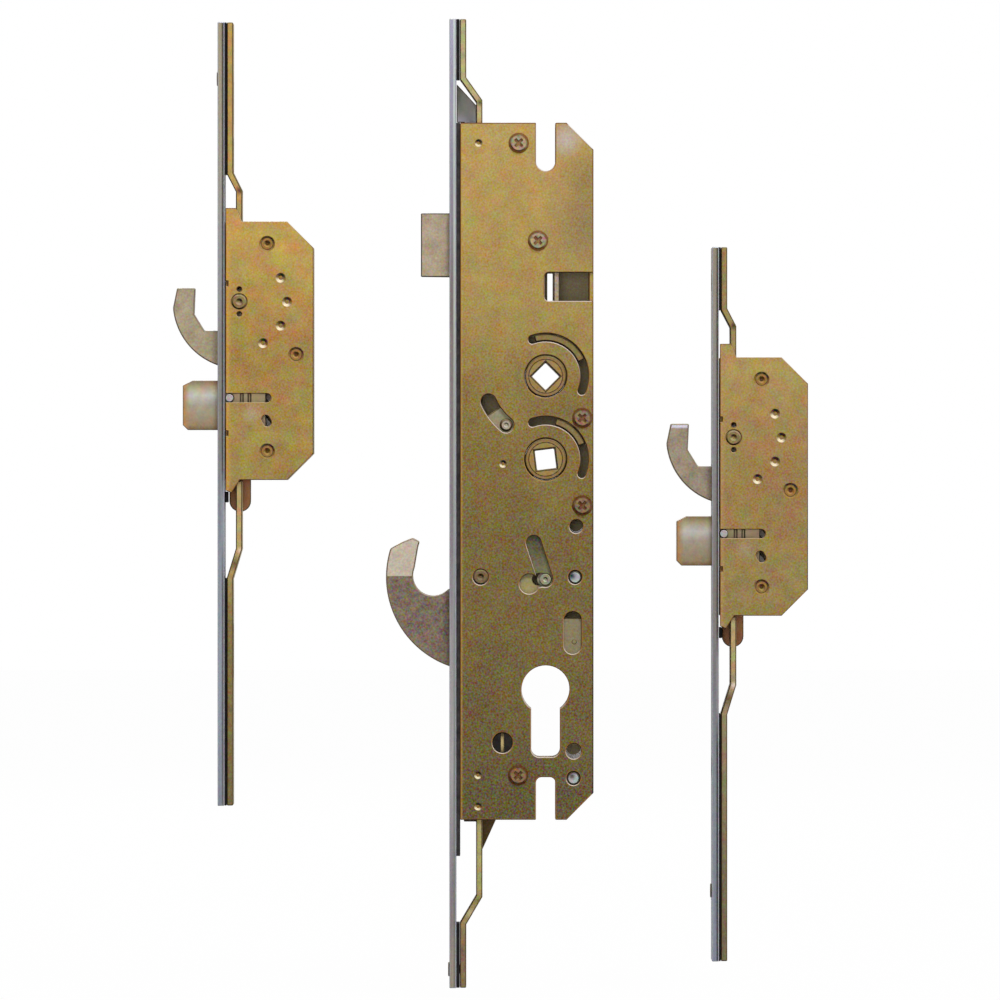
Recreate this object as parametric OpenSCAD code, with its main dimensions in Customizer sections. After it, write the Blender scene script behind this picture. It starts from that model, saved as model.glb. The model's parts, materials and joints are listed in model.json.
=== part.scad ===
// Multipoint door lock: a gearbox between an upper and a lower hook unit.
// X runs from the faceplate's front into the door, Y across the door's thickness, Z up.
// The origin is on the gearbox faceplate's front, midway between its two fixing screws.

/* [Faceplates] */
// Width of every faceplate across the door edge
plate_w = 16; // [16:0.5:22]
// Thickness of every faceplate
plate_t = 2.5; // [2:0.1:2.8]
// Top end of the gearbox faceplate
centre_plate_top = 175; // [170:0.5:200]
// Length of the gearbox faceplate
centre_plate_len = 352.5; // [350:0.5:400]
// Distance between the gearbox fixing screws
centre_fix_pitch = 288; // [284:0.5:296]
// Diameter of the fixing holes
fix_hole_d = 5; // [4:0.1:5.5]
// Diameter of the countersinks of the fixing holes
fix_sink_d = 9; // [7:0.5:11]
// Diameter of the hole for the cylinder's fixing screw
cylinder_screw_d = 5.5; // [5:0.1:6]

/* [Hook units] */
// Faceplate front of the upper hook unit, from the gearbox's
upper_x = -84.3; // [-120:0.1:-80]
// Height of the upper unit's hook pivot
upper_z = 72.1; // [40:0.1:120]
// Reach of the upper faceplate above its hook pivot
upper_top = 101.7; // [95:0.1:130]
// Reach of the upper faceplate below its hook pivot
upper_bottom = 183.3; // [160:0.1:220]
// Faceplate front of the lower hook unit, from the gearbox's
lower_x = 95.5; // [90:0.1:140]
// Height of the lower unit's hook pivot
lower_z = 22.7; // [-40:0.1:60]
// Reach of the lower faceplate above its hook pivot
lower_top = 69.3; // [66:0.1:100]
// Reach of the lower faceplate below its hook pivot
lower_bottom = 190.5; // [185:0.1:220]
// Upper fixing hole of a hook unit, above its hook pivot
side_fix_up = 57; // [55:0.5:58]
// Lower fixing hole of a hook unit, below its hook pivot
side_fix_down = 120; // [118:0.5:130]

/* [Cases] */
// Thickness of the cases across the door
case_t = 15.5; // [15:0.1:15.9]
// Thickness of the case sheets
sheet_t = 1.5; // [1.2:0.1:1.6]
// Back of the gearbox case, from the faceplate's front
centre_case_x = 52.4; // [52.2:0.1:60]
// Space between the faceplate's rear and the gearbox case
centre_gap = 1.4; // [0.8:0.1:1.6]
// Top of the gearbox case
centre_case_top = 137.2; // [136:0.1:139]
// Bottom of the gearbox case
centre_case_bottom = -116.3; // [-120:0.1:-115]
// Chamfer of the gearbox case's back corners
centre_chamfer = 9.8; // [6:0.1:11]
// Back of a hook unit's case, from its faceplate's front
side_case_x = 34.9; // [34.5:0.1:44]
// Space between the faceplate's rear and a hook unit's case
side_gap = 0.4; // [0.2:0.1:0.6]
// Top of a hook unit's case above the hook pivot
side_case_top = 29.2; // [28:0.1:32]
// Bottom of a hook unit's case below the hook pivot
side_case_bottom = 64.8; // [63:0.1:66]
// Chamfer of a hook unit's back corners
side_chamfer = 9.6; // [6:0.1:11]
// Outer radius of the pillars inside the cases
pillar_r = 2.3; // [2.1:0.1:2.4]
// Radius of the case screws' shanks
screw_r = 1.4; // [1.2:0.1:1.6]
// Radius of the gearbox screws' pan heads
pan_head_r = 3.8; // [3:0.1:4]
// Height of the gearbox screws' pan heads
pan_head_h = 1.7; // [1.2:0.1:2.2]
// Radius of a hook unit's sunk screw heads
sunk_head_r = 2.9; // [2.4:0.1:3.1]

/* [Drive] */
// Travel of the rails between thrown and withdrawn
travel = 16; // [14:0.5:16.5]
// Thickness of the slider plates
slider_t = 1.8; // [1.5:0.1:2]
// Width of the rails
rail_w = 11.6; // [10:0.1:12]
// Thickness of the rails
rail_t = 2.3; // [1.8:0.1:2.5]
// Radius of the rail guide rivets
rivet_r = 1.6; // [1.2:0.1:1.8]
// Radius of the guide rivets' heads
rivet_head_r = 2.6; // [2.2:0.1:3]
// Height of the guide rivets' front heads
rivet_head_h = 0.5; // [0.3:0.1:0.8]
// Radius of the drive pins in hooks and bolts
drive_pin_r = 1.6; // [1.4:0.1:1.7]
// Clearance round a drive pin in its slot
slot_clearance = 0.25; // [0.2:0.05:0.3]
// Clearance between sliding faces
clearance = 0.15; // [0.1:0.01:0.2]
// Running clearance of pivots and pins in their bores
fit = 0.05; // [0.02:0.01:0.08]
// Loose clearance beside walls and in guide slots
loose = 0.3; // [0.2:0.05:0.4]

/* [Spindles and cylinder] */
// Distance from the faceplate's front to the spindles and the key cylinder
backset = 35; // [34.5:0.1:35.2]
// Height of the upper spindle
upper_spindle_z = 45; // [44:0.1:46]
// Distance between the spindles
spindle_pitch = 30.2; // [30:0.1:32]
// Width of the square spindle holes
spindle_w = 7.1; // [7:0.1:9]
// Radius of the followers' hubs
hub_r = 7.5; // [7:0.1:7.8]
// Middle radius of the arc slots round the hubs
arc_r = 14.15; // [13.8:0.05:14.2]
// Width of the arc slots round the hubs
arc_w = 3; // [2.6:0.1:3.2]
// Turn of the upper follower that withdraws the latch
upper_turn = 27; // [24:1:28]
// Radius of the lower follower's drive nose from its axis
follower_arm_r = 22.5; // [22:0.1:23]
// Radius of the drive nose itself
nose_r = 2.5; // [2:0.1:2.7]
// Height of the key cylinder's axis
cylinder_z = -68.9; // [-70:0.1:-68]
// Radius of the round part of the cylinder hole
cylinder_r = 8.75; // [8.5:0.05:9]
// Width of the narrow part of the cylinder hole
cylinder_w = 10.5; // [10:0.1:11]
// Whole height of the cylinder hole
cylinder_h = 33.3; // [33:0.1:34]
// Distance from the cylinder's axis down to its fixing screw
cylinder_screw_drop = 19.4; // [19:0.1:20]
// Width of the notches for the handle screws
notch_w = 7; // [6:0.1:8]
// Bottom of the upper handle notch
notch_top_z = 119.7; // [118:0.1:122]
// Top of the lower handle notch
notch_bottom_z = -100.8; // [-102:0.1:-100]

/* [Latch] */
// Throw of the latch in front of the faceplate
latch_throw = 10.4; // [9:0.1:10.6]
// Height of the latch head
latch_h = 23.2; // [20:0.1:24]
// Thickness of the latch head
latch_t = 8; // [7:0.1:8.2]
// Middle height of the latch head
latch_z = 92.8; // [92:0.1:93.5]
// Wire radius of the latch spring
spring_wire_r = 0.4; // [0.3:0.05:0.5]
// Coil radius of the latch spring at the wire's middle
spring_r = 2.1; // [1.8:0.1:2.3]
// Turns of the latch spring
spring_turns = 6; // [4:1:7]

/* [Hooks and bolts] */
// Thickness of the hooks
hook_t = 5; // [4:0.1:6]
// Outer radius of the gearbox hook about its pivot
centre_hook_r = 34.5; // [33:0.1:35]
// Gearbox hook pivot, from the faceplate's front
centre_pivot_x = 11.35; // [11.2:0.05:11.6]
// Height of the gearbox hook pivot
centre_pivot_z = -28; // [-29:0.1:-27]
// Turn that withdraws the gearbox hook
centre_swing = 104; // [100:1:106]
// Outer radius of a hook unit's hook about its pivot
side_hook_r = 24.4; // [23.5:0.1:24.8]
// Hook pivot of a hook unit, from the faceplate's front
side_pivot_x = 7.85; // [7.7:0.05:8]
// Turn that withdraws a hook unit's hook
side_swing = 90; // [86:1:94]
// Radius of the hook pivots
pivot_r = 2.8; // [2.5:0.1:3]
// Throw of the bolts in front of the faceplate
bolt_throw = 12.8; // [11:0.1:13]
// Height of the bolts
bolt_h = 18; // [16:0.1:18.2]
// Thickness of the bolts
bolt_t = 8; // [7:0.1:8.2]
// Middle of a bolt below the hook pivot
bolt_drop = 37.6; // [37:0.1:38]

/* [Lock slide] */
// Rise of the lock slide when the key turns
lock_rise = 8; // [6:0.1:9]
// Radius of the deadlock pin
deadlock_pin_r = 2; // [1.6:0.1:2.2]

/* [Hidden] */
$fn = 48;
case_y = case_t / 2;
inner_y = case_y - sheet_t;
slider_y1 = inner_y - clearance;
slider_y0 = slider_y1 - slider_t;
front_y0 = -slider_y1;
front_y1 = -slider_y0;
past = 1;

// Gearbox places
centre_plate_bottom = centre_plate_top - centre_plate_len;
centre_case_x0 = plate_t + centre_gap;
lower_spindle_z = upper_spindle_z - spindle_pitch;
centre_rail_xo = 3.8;
centre_rail_xi = 9.7;
// Where the rails step back, as shares of the way from the case to the plate's end
joggle_top_shares = [0.22, 0.44];
joggle_bottom_shares = [0.46, 0.624];
function joggle(case_end, plate_end, shares) = [for (s = shares) case_end + s * (plate_end - case_end)];
centre_joggle_top = joggle(centre_case_top, centre_plate_top, joggle_top_shares);
centre_joggle_bottom = joggle(centre_case_bottom, centre_plate_bottom, joggle_bottom_shares);
centre_rail_end_top = 118;
centre_rail_end_bottom = -112;
centre_rivet_inset = 6.5;
centre_rivet_z = centre_plate_bottom + centre_rivet_inset;
// The top fixing screw clears the case's top end
fix_above_case = 6.8;
centre_fix_top = centre_case_top + fix_above_case;
centre_fixings = [centre_fix_top, centre_fix_top - centre_fix_pitch];
centre_hook_slot_top = 2.4;
centre_wall_x = 18;
centre_tab_z = [110, 55, -95];
centre_tab_h = 12;
fore_end_half = 7;
fore_end_drop = 13.2;
fore_end_ease = 0.8;
screw_guide_r = 3.5;
screw_guide_x = 19.3;
cylinder_screw_z = cylinder_z - cylinder_screw_drop;
latch_pillar = [32.2, 94.3];
edge_pillar_x = centre_case_x - sheet_t - pillar_r - loose;
centre_pillars = [[25.2, 129.8], latch_pillar, [edge_pillar_x, 29.8], [edge_pillar_x, -2], [25, -100.1]];
centre_rivets = [[45.7, -28.1], [45.1, -101.2]];
shoulder_rivet_r = 2.3;
rivet_hole_gap = 0.2;
collar = 1.2;
slit_x = [35.7, 37.6];
window_x = 34.6;
window_z = [72.4, 82.7];
window_corner = 1.5;
cover_lobe = [29, -30.5];
cover_lobe_r = 3.6;
cover_neck_r = 2.2;
cover_slant_half = 2.75;
sight_top = [44.8, -43.8];
sight_bottom = [44.8, -52.8];
sight_r = 3.2;
cover_holes = [[46.1, -9.6, 2.45], [45.2, -91.3, 2.8]];
cover_dimples = [[10.6, 129.8], [10.4, -100.1], [10.4, -111.5], [19.5, 13.1]];
cover_dimple_r = 1.5;
dimple_depth = 0.8;
dimple_floor_share = 0.4;
slant_r = 22.8;
slant_w = 5.6;
slant_rest = 231;
slant_pin_r = 2;
// Turn of each square hole and the angles that each lug spans
lower_square_turn = 7;
upper_square_turn = 45;
lower_lug = [22, 75];
upper_lug = [24, 106];
lug_drop = 0.9;
arc_from = 110;
arc_to = -22;

// Screws, rivets and pivots
fix_slot_gap = 0.5;
fix_slot_r = fix_hole_d / 2 + fix_slot_gap;
rivet_slot_r = rivet_r + loose;
screw_end_gap = 4;
pillar_floor = 2;
recess_share = 0.65;
recess_arm_share = 0.27;
recess_depth = 0.9;
pan_top_share = 0.72;
sunk_head_drop = 0.55;
pit_r = 1.25;
pit_floor_r = 0.4;
pit_depth = 0.9;
hollow_share = 0.45;
hollow_depth = 0.5;
pivot_bevel = 0.6;
pivot_step = 1;
pivot_end_r = 1.9;
pivot_slot_r = pivot_end_r + loose;

// Hook unit places, with the hook pivot's height as zero
side_case_x0 = plate_t + side_gap;
side_rail_xo = 3.3;
side_rail_xi = 6.6;
side_joggle_top = [40.6, 47];
side_joggle_bottom = [-90, -100.8];
side_rail_end_top = 14;
side_rail_end_bottom = -65.2;
side_slider_top = 24;
side_slider_bottom = -76.4;
side_slider_w = 7.9;
upper_rivet_z = 81.4;
lower_rivet_z = -165;
side_pillars = [[18, 21.1], [28.5, -19.3], [18, -54.4]];
side_tab_z = [12, -60];
side_tab_h = 10;
side_throat_z = 10.4;
cover_tab = [8.8, 6.9, 4.9];
cover_foot = [8, 5, 4.7, 3.8];
edge_notch_z = [6.6, -47.9];
edge_notch = 0.9;
notch_post = [0.75, 1];
pivot_pip_z = 4.5;
pivot_pip_r = 0.9;
side_dimple_r = 1.95;
side_dimple_circle = 17.4;
side_dimple_angles = [30, 0, -30, -60];
cam_sight = [[17.5, -42.8], [18.1, -43.9]];
cam_sight_r = 1.5;
guide_block_z = [-73, -69];
side_wall_x = 12.8;
bolt_pin = [13, -33];
bolt_stud = [4.3, -35];
bolt_tail_x = 17.5;
bolt_stud_r = 1.35;
stud_slot_ends = [4, 0.7];
bolt_grooves = [8.7, 11.5];
groove = [0.9, 3.4, 0.6];
slot_rim = 2.6;
lobe_drop = 9;

// Motion: pins sit half the travel below their pivots at rest and half above when withdrawn
centre_pin_r = travel / 2 / sin(centre_swing / 2);
side_pin_r = travel / 2 / sin(side_swing / 2);
follower_swing = asin(travel / 2 / follower_arm_r);
centre_pin = [centre_pin_r * cos(centre_swing / 2), -travel / 2];
side_pin = [side_pin_r * cos(side_swing / 2), -travel / 2];
deadlock_rest = [34.9, -28.9];
deadlock_end = [30.6, -15.6];
deadlock_run = (deadlock_end - deadlock_rest) * (lock_rise / (deadlock_end[1] - deadlock_rest[1]));
echo(follower_turn_deg = 2 * follower_swing, deadlock_run = deadlock_run);

// Most that a pin on a swinging arm leads a steady slide over the same stroke
function lead(r, half) =
    let (peak = acos(sin(half) / (half * PI / 180)))
    r * sin(peak) - r * sin(half) * peak / half;

centre_slot_h = drive_pin_r + lead(centre_pin_r, centre_swing / 2) + slot_clearance;
side_slot_h = drive_pin_r + lead(side_pin_r, side_swing / 2) + slot_clearance;
nose_slot_h = nose_r + slot_clearance;

zinc = [0.70, 0.57, 0.33];
zinc_dark = [0.55, 0.46, 0.26];
steel = [0.65, 0.65, 0.70];
hook_steel = [0.72, 0.65, 0.55];
copper = [0.74, 0.47, 0.30];

// Outline of a case with 45 degree corners at the back, moved inwards by inset on three sides
function case_outline(x0, x1, z0, z1, chamfer, inset = 0) =
    let (c = chamfer - inset * (2 - sqrt(2)), xb = x1 - inset, zb = z0 + inset, zt = z1 - inset)
    [[x0, zb], [xb - c, zb], [xb, zb + c], [xb, zt - c], [xb - c, zt], [x0, zt]];

function centre_outline(inset = 0) =
    case_outline(centre_case_x0, centre_case_x, centre_case_bottom, centre_case_top, centre_chamfer, inset);

function side_outline(inset = 0) =
    case_outline(side_case_x0, side_case_x, -side_case_bottom, side_case_top, side_chamfer, inset);

// Points along an arc, from angle a0 to a1
function arc_points(centre, r, a0, a1, steps = 12) =
    [for (i = [0:steps]) let (a = a0 + (a1 - a0) * i / steps) centre + r * [cos(a), sin(a)]];

// Extrudes an outline drawn in X and Z from y0 to y1
module solid(y0, y1) {
    translate([0, y1, 0]) rotate([90, 0, 0]) linear_extrude(y1 - y0) children();
}

// Round pin along Y
module pin(p, r, y0, y1) {
    translate([p[0], y1, p[1]]) rotate([90, 0, 0]) cylinder(h = y1 - y0, r = r);
}

// Cone along Y, from r0 at y0 to r1 at y1
module cone(p, r0, r1, y0, y1) {
    translate([p[0], y1, p[1]]) rotate([90, 0, 0]) cylinder(h = y1 - y0, r1 = r1, r2 = r0);
}

// Dish pressed into a cover's outer face
module dimple(p, r) {
    cone(p, r, r * dimple_floor_share, -case_y, -case_y + dimple_depth);
}

// Round pin along X
module pin_x(z, r, x0, x1) {
    translate([x0, 0, z]) rotate([0, 90, 0]) cylinder(h = x1 - x0, r = r);
}

// Block between two corners
module block(a, b) {
    translate(a) cube(b - a);
}

// Slot outline with round ends
module slot2d(p, q, r) {
    side = [p[1] - q[1], q[0] - p[0]] * (r / norm(q - p));
    translate(p) circle(r);
    translate(q) circle(r);
    polygon([p + side, q + side, q - side, p - side]);
}

// Rectangle outline between two corners
module rect2d(a, b) {
    translate(a) square(b - a);
}

// Ring sector outline about the origin, under 180 degrees
module sector2d(r0, r1, a0, a1) {
    reach = 3 * r1;
    intersection() {
        difference() {
            circle(r1);
            circle(r0);
        }
        polygon([[0, 0], for (a = [a0, (a0 + a1) / 2, a1]) reach * [cos(a), sin(a)]]);
    }
}

// Arc slot outline with round ends about the origin
module arc_slot2d(r, w, a0, a1) {
    middle = (a0 + a1) / 2;
    sector2d(r - w / 2, r + w / 2, a0, middle);
    sector2d(r - w / 2, r + w / 2, middle, a1);
    for (a = [a0, a1]) translate(r * [cos(a), sin(a)]) circle(w / 2);
}

// Round pit in the outer face of a head
module head_pit(p, face_y) {
    cone(p, pit_r, pit_floor_r, face_y, face_y + pit_depth);
}

// Round hollow in the outer end of a pin
module pin_hollow(p, r) {
    cone(p, r * hollow_share, r * hollow_share / 2, -case_y + loose, -case_y + loose + hollow_depth);
}

// Cross recess of a screw head, cut into its outer face
module cross_recess(p, size, y0, y1) {
    arm = size * recess_arm_share;
    for (turn = [45, 135]) {
        translate([p[0], 0, p[1]]) rotate([0, turn, 0]) block([-size, y0, -arm], [size, y1, arm]);
    }
}

// Rails: an outer run beside the faceplate, a joggle and an inner run that ends on the slider plate

module rail2d(xo, xi, joggle, far_end, near_end) {
    shift = rail_t * tan(atan2(xi - xo, joggle[1] - joggle[0]) / 2);
    polygon([
        [xo, far_end], [xo + rail_t, far_end], [xo + rail_t, joggle[1]], [xi + rail_t, joggle[0]],
        [xi + rail_t, near_end], [xi, near_end], [xi, joggle[0] - shift], [xo, joggle[1] - shift]
    ]);
}

module rail(xo, xi, joggle, far_end, near_end) {
    solid(-rail_w / 2, slider_y0) rail2d(xo, xi, joggle, far_end, near_end);
    solid(slider_y0, rail_w / 2) rect2d([xo, joggle[1]], [xo + rail_t, far_end]);
}

// Slot through a rail along X for a fixed screw or rivet that the rail slides past
module rail_slot(z, r) {
    reach = centre_rail_xi + 2 * rail_t;
    for (end = [z, z - travel]) pin_x(end, r, 0, reach);
    block([0, -r, z - travel], [reach, r, z]);
}

module top_rail(xo, xi, joggle, far_end, near_end, slots) {
    difference() {
        rail(xo, xi, joggle, far_end, near_end);
        for (s = slots) rail_slot(s[0], s[1]);
    }
}

module bottom_rail(xo, xi, joggle, far_end, near_end, slots) {
    difference() {
        mirror([0, 0, 1]) rail(xo, xi, [-joggle[0], -joggle[1]], -far_end, -near_end);
        for (s = slots) rail_slot(s[0], s[1]);
    }
}

// Guide rivet with a shoulder between faceplate and rail
module rail_rivet(z, xo) {
    pin_x(z, rivet_head_r, -rivet_head_h, 0);
    pin_x(z, rivet_r, 0, xo + rail_t);
    pin_x(z, rivet_head_r, plate_t, xo - clearance);
}

// Faceplate blank with its fixing holes and the hole of its guide rivet
module plate(z0, z1, fixings, rivet_z) {
    difference() {
        block([0, -plate_w / 2, z0], [plate_t, plate_w / 2, z1]);
        for (z = fixings) {
            pin_x(z, fix_hole_d / 2, -past, plate_t + past);
            sink = (fix_sink_d - fix_hole_d) / 2;
            translate([0, 0, z]) rotate([0, 90, 0])
                cylinder(h = sink, r1 = fix_sink_d / 2, r2 = fix_hole_d / 2);
        }
        pin_x(rivet_z, rivet_r, -past, plate_t + past);
    }
}

module plate_opening(z0, z1, half_w, depth = plate_t) {
    block([-past, -half_w, z0], [depth + past, half_w, z1]);
}

// Hook unit pieces, drawn about the height of their hook pivot

side_pivot = [side_pivot_x, 0];
hook_half = hook_t / 2;
hook_gap = 0.5;
bolt_top = -bolt_drop + bolt_h / 2;
bolt_bottom = -bolt_drop - bolt_h / 2;

module side_plate(top, bottom, rivet_z) {
    difference() {
        plate(-bottom, top, [side_fix_up, -side_fix_down], rivet_z);
        plate_opening(-side_hook_r - hook_gap, -side_throat_z + hook_gap, hook_half + clearance);
        plate_opening(bolt_bottom - clearance, bolt_top + clearance, bolt_t / 2 + clearance);
    }
}

module side_tray() {
    solid(inner_y, case_y) polygon(side_outline());
    solid(-inner_y, inner_y) intersection() {
        difference() {
            polygon(side_outline());
            polygon(side_outline(sheet_t));
        }
        rect2d([side_wall_x, -2 * side_case_bottom], [2 * side_case_x, 2 * side_case_top]);
    }
    for (z = side_tab_z) {
        solid(inner_y, case_y) rect2d([plate_t, z], [side_case_x0 + past, z + side_tab_h]);
    }
    for (z = edge_notch_z) {
        solid(-inner_y, inner_y) rect2d([side_case_x0, z - notch_post[1]],
            [side_case_x0 + notch_post[0], z + notch_post[1]]);
    }
}

module side_cover() {
    tab_top = side_case_top + cover_tab[2];
    tab = [[side_case_x0, side_case_top], [cover_tab[0], side_case_top], [cover_tab[1], tab_top],
        [side_case_x0, tab_top]];
    foot = [[side_case_x0, -side_case_bottom], [side_case_x0, -side_case_bottom - cover_foot[3]],
        [cover_foot[1], -side_case_bottom - cover_foot[2]], [cover_foot[0], -side_case_bottom]];
    stud_in = bolt_stud - [stud_slot_ends[0], 0];
    stud_out = bolt_stud + [bolt_throw + stud_slot_ends[1], 0];
    difference() {
        solid(-case_y, -inner_y) difference() {
            union() {
                polygon(side_outline());
                polygon(tab);
                polygon(foot);
            }
            slot2d(stud_in, stud_out, bolt_stud_r + slot_clearance);
            slot2d(cam_sight[0], cam_sight[1], cam_sight_r);
            for (z = edge_notch_z) {
                rect2d([side_case_x0 - past, z - edge_notch], [side_case_x0 + edge_notch, z + edge_notch]);
            }
            for (z = [-pivot_pip_z, pivot_pip_z]) translate([side_pivot_x, z]) circle(pivot_pip_r);
        }
        for (p = side_pillars) {
            pin(p, screw_r + fit, -case_y - past, 0);
            cone(p, sunk_head_r + fit, screw_r + fit, -case_y, -inner_y);
        }
        pin(side_pivot, pivot_r + fit, -case_y - past, 0);
        for (a = side_dimple_angles) {
            dimple(side_pivot + side_dimple_circle * [cos(a), sin(a)], side_dimple_r);
        }
    }
}

module pillar(p) {
    difference() {
        pin(p, pillar_r, -inner_y, inner_y);
        pin(p, screw_r + fit, -inner_y - past, inner_y - pillar_floor);
    }
}

module side_screws() {
    face_y = -case_y + sunk_head_drop;
    head_r = sunk_head_r - (sunk_head_r - screw_r) * sunk_head_drop / sheet_t;
    for (p = side_pillars) {
        difference() {
            union() {
                pin(p, screw_r, -inner_y, inner_y - screw_end_gap);
                cone(p, head_r, screw_r, face_y, -inner_y);
            }
            head_pit(p, face_y);
        }
    }
}

// Round pivot: a head in the cover, a journal for the hook and a thinner end through the slider
module hook_pivot(p, end_r) {
    difference() {
        union() {
            cone(p, pivot_r - pivot_bevel, pivot_r, -case_y, -case_y + pivot_bevel);
            pin(p, pivot_r, -case_y + pivot_bevel, hook_half + pivot_step);
            pin(p, end_r, hook_half + pivot_step, inner_y);
            pin(p, pivot_r + collar, -inner_y, -hook_half - clearance);
        }
        head_pit(p, -case_y);
    }
}

// Hook unit's hook: a square claw on a wide arc
module side_hook_2d() {
    claw = [
        [-2 * side_hook_r, -2], [-side_hook_r + 0.2, -2], [-22.8, 5.1], [-16.1, 5.1], [-16.5, -4.4],
        [-12.8, -side_throat_z], [-5, -side_throat_z], [-4.2, -3.5], [4, -2], [side_pin[0] + 2, -4.5],
        [side_pin[0] + 1.5, -11.5], [-1, -2 * side_hook_r], [-2 * side_hook_r, -2 * side_hook_r]
    ];
    boss_r = 4.9;
    pin_boss = 1.8;
    intersection() {
        circle(side_hook_r);
        polygon(claw);
    }
    circle(boss_r);
    translate(side_pin) circle(drive_pin_r + pin_boss);
}

module side_hook() {
    translate([side_pivot_x, 0, 0]) difference() {
        solid(-hook_half, hook_half) side_hook_2d();
        pin([0, 0], pivot_r + fit, -hook_half - past, hook_half + past);
        pin(side_pin, drive_pin_r + fit, -hook_half - past, hook_half + past);
    }
}

module side_hook_pin() {
    pin(side_pivot + side_pin, drive_pin_r, -hook_half, slider_y1);
}

module side_bolt() {
    nose = 1.8;
    difference() {
        solid(-bolt_t / 2, bolt_t / 2) polygon([
            [-bolt_throw, bolt_bottom + nose], [-bolt_throw + nose, bolt_bottom], [bolt_tail_x, bolt_bottom],
            [bolt_tail_x, bolt_top], [-bolt_throw + 2 * nose, bolt_top], [-bolt_throw, bolt_top - nose]
        ]);
        pin(bolt_pin, drive_pin_r + fit, 0, bolt_t);
        pin(bolt_stud, bolt_stud_r + fit, -bolt_t, 0);
        for (x = bolt_grooves) {
            block([x - groove[0] / 2, -bolt_t, bolt_stud[1] - groove[1] / 2],
                [x + groove[0] / 2, -bolt_t / 2 + groove[2], bolt_stud[1] + groove[1] / 2]);
        }
    }
}

module side_bolt_pins() {
    pin(bolt_pin, drive_pin_r, 0, slider_y1);
    pin(bolt_stud, bolt_stud_r, -case_y, 0);
}

// Slider plate of a hook unit: a strip with a round foot, a lug for the hook's pin and a lobe with the
// slanted slot that moves the bolt
module side_slider() {
    rest_slot = side_pivot_x + side_pin[0];
    mid_slot = side_pivot_x + side_pin_r;
    cam_end = bolt_pin + [bolt_throw, -travel];
    cam_turn = atan2(-travel, bolt_throw);
    half = side_slider_w / 2;
    lobe_r = drive_pin_r + slot_rim;
    strip_x = side_pivot_x + half;
    lug_x = mid_slot + drive_pin_r + slot_rim;
    lug_h = side_slot_h + slot_rim;
    foot = [side_pivot_x, side_slider_bottom + half];
    outline = concat(
        [[side_pivot_x - half, side_slider_top]],
        arc_points(foot, half, 180, 360),
        [[strip_x, bolt_pin[1] - lobe_drop]],
        arc_points(cam_end, lobe_r, cam_turn - 90, cam_turn + 90),
        arc_points(bolt_pin, lobe_r, cam_turn + 90, 90),
        [[strip_x, bolt_pin[1] + lobe_r], [strip_x, side_pin[1] - lug_h], [lug_x, side_pin[1] - lug_h]],
        [[lug_x, side_pin[1] + lug_h], [strip_x, side_pin[1] + lug_h], [strip_x, side_slider_top]]
    );
    solid(slider_y0, slider_y1) difference() {
        polygon(outline);
        slot2d(side_pivot, side_pivot - [0, travel], pivot_slot_r);
        rect2d([rest_slot - drive_pin_r - slot_clearance, side_pin[1] - side_slot_h],
            [mid_slot + drive_pin_r + slot_clearance, side_pin[1] + side_slot_h]);
        slot2d(bolt_pin, cam_end, drive_pin_r + slot_clearance);
    }
}

module side_rail_top(top, slots) {
    top_rail(side_rail_xo, side_rail_xi, side_joggle_top, top, side_rail_end_top, slots);
}

module side_rail_bottom(bottom, slots) {
    bottom_rail(side_rail_xo, side_rail_xi, side_joggle_bottom, -bottom, side_rail_end_bottom, slots);
}

module side_guide_block() {
    half_w = slider_y0 - loose;
    back_x = side_pivot_x - side_slider_w / 2 - rivet_hole_gap;
    block([plate_t, -half_w, guide_block_z[0]], [back_x, half_w, guide_block_z[1]]);
}

// Gearbox pieces

centre_pivot = [centre_pivot_x, centre_pivot_z];
upper_spindle = [backset, upper_spindle_z];
lower_spindle = [backset, lower_spindle_z];
latch_half = latch_h / 2;

// Ways for latch, hook and cylinder screw through the gearbox's front, to a depth behind its face;
// ease widens the ways of hook and screw
module centre_openings(depth, ease = 0) {
    plate_opening(latch_z - latch_half - clearance, latch_z + latch_half + clearance,
        latch_t / 2 + clearance, depth);
    plate_opening(centre_pivot_z - centre_hook_r - hook_gap,
        centre_pivot_z - centre_hook_slot_top + ease, hook_half + clearance, depth);
    pin_x(cylinder_screw_z, cylinder_screw_d / 2 + ease, -past, depth + past);
}

module centre_faceplate() {
    color(steel) difference() {
        plate(centre_plate_bottom, centre_plate_top, centre_fixings, centre_rivet_z);
        centre_openings(plate_t);
    }
}

// Front wall of the gearbox case, between the faceplate and the case sheets
module centre_fore_end() {
    color(zinc_dark) difference() {
        block([plate_t, -fore_end_half, centre_case_bottom - fore_end_drop],
            [centre_case_x0, inner_y, centre_case_top]);
        centre_openings(centre_case_x0, fore_end_ease);
    }
}

// Profile hole of the key cylinder
module cylinder_hole_2d() {
    corner = 3;
    foot = cylinder_z + cylinder_r - cylinder_h;
    half = cylinder_w / 2;
    translate([backset, cylinder_z]) circle(cylinder_r);
    rect2d([backset - half, foot + corner], [backset + half, cylinder_z]);
    slot2d([backset - half + corner, foot + corner], [backset + half - corner, foot + corner], corner);
}

// Open notches at the top and bottom edges for the handle's screws
module notches_2d() {
    half = notch_w / 2;
    corner = 2;
    slot2d([backset, notch_top_z + half], [backset, centre_case_top + half], half);
    rect2d([backset - half, centre_case_bottom - past], [backset + half, notch_bottom_z - corner]);
    slot2d([backset - half + corner, notch_bottom_z - corner],
        [backset + half - corner, notch_bottom_z - corner], corner);
}

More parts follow.
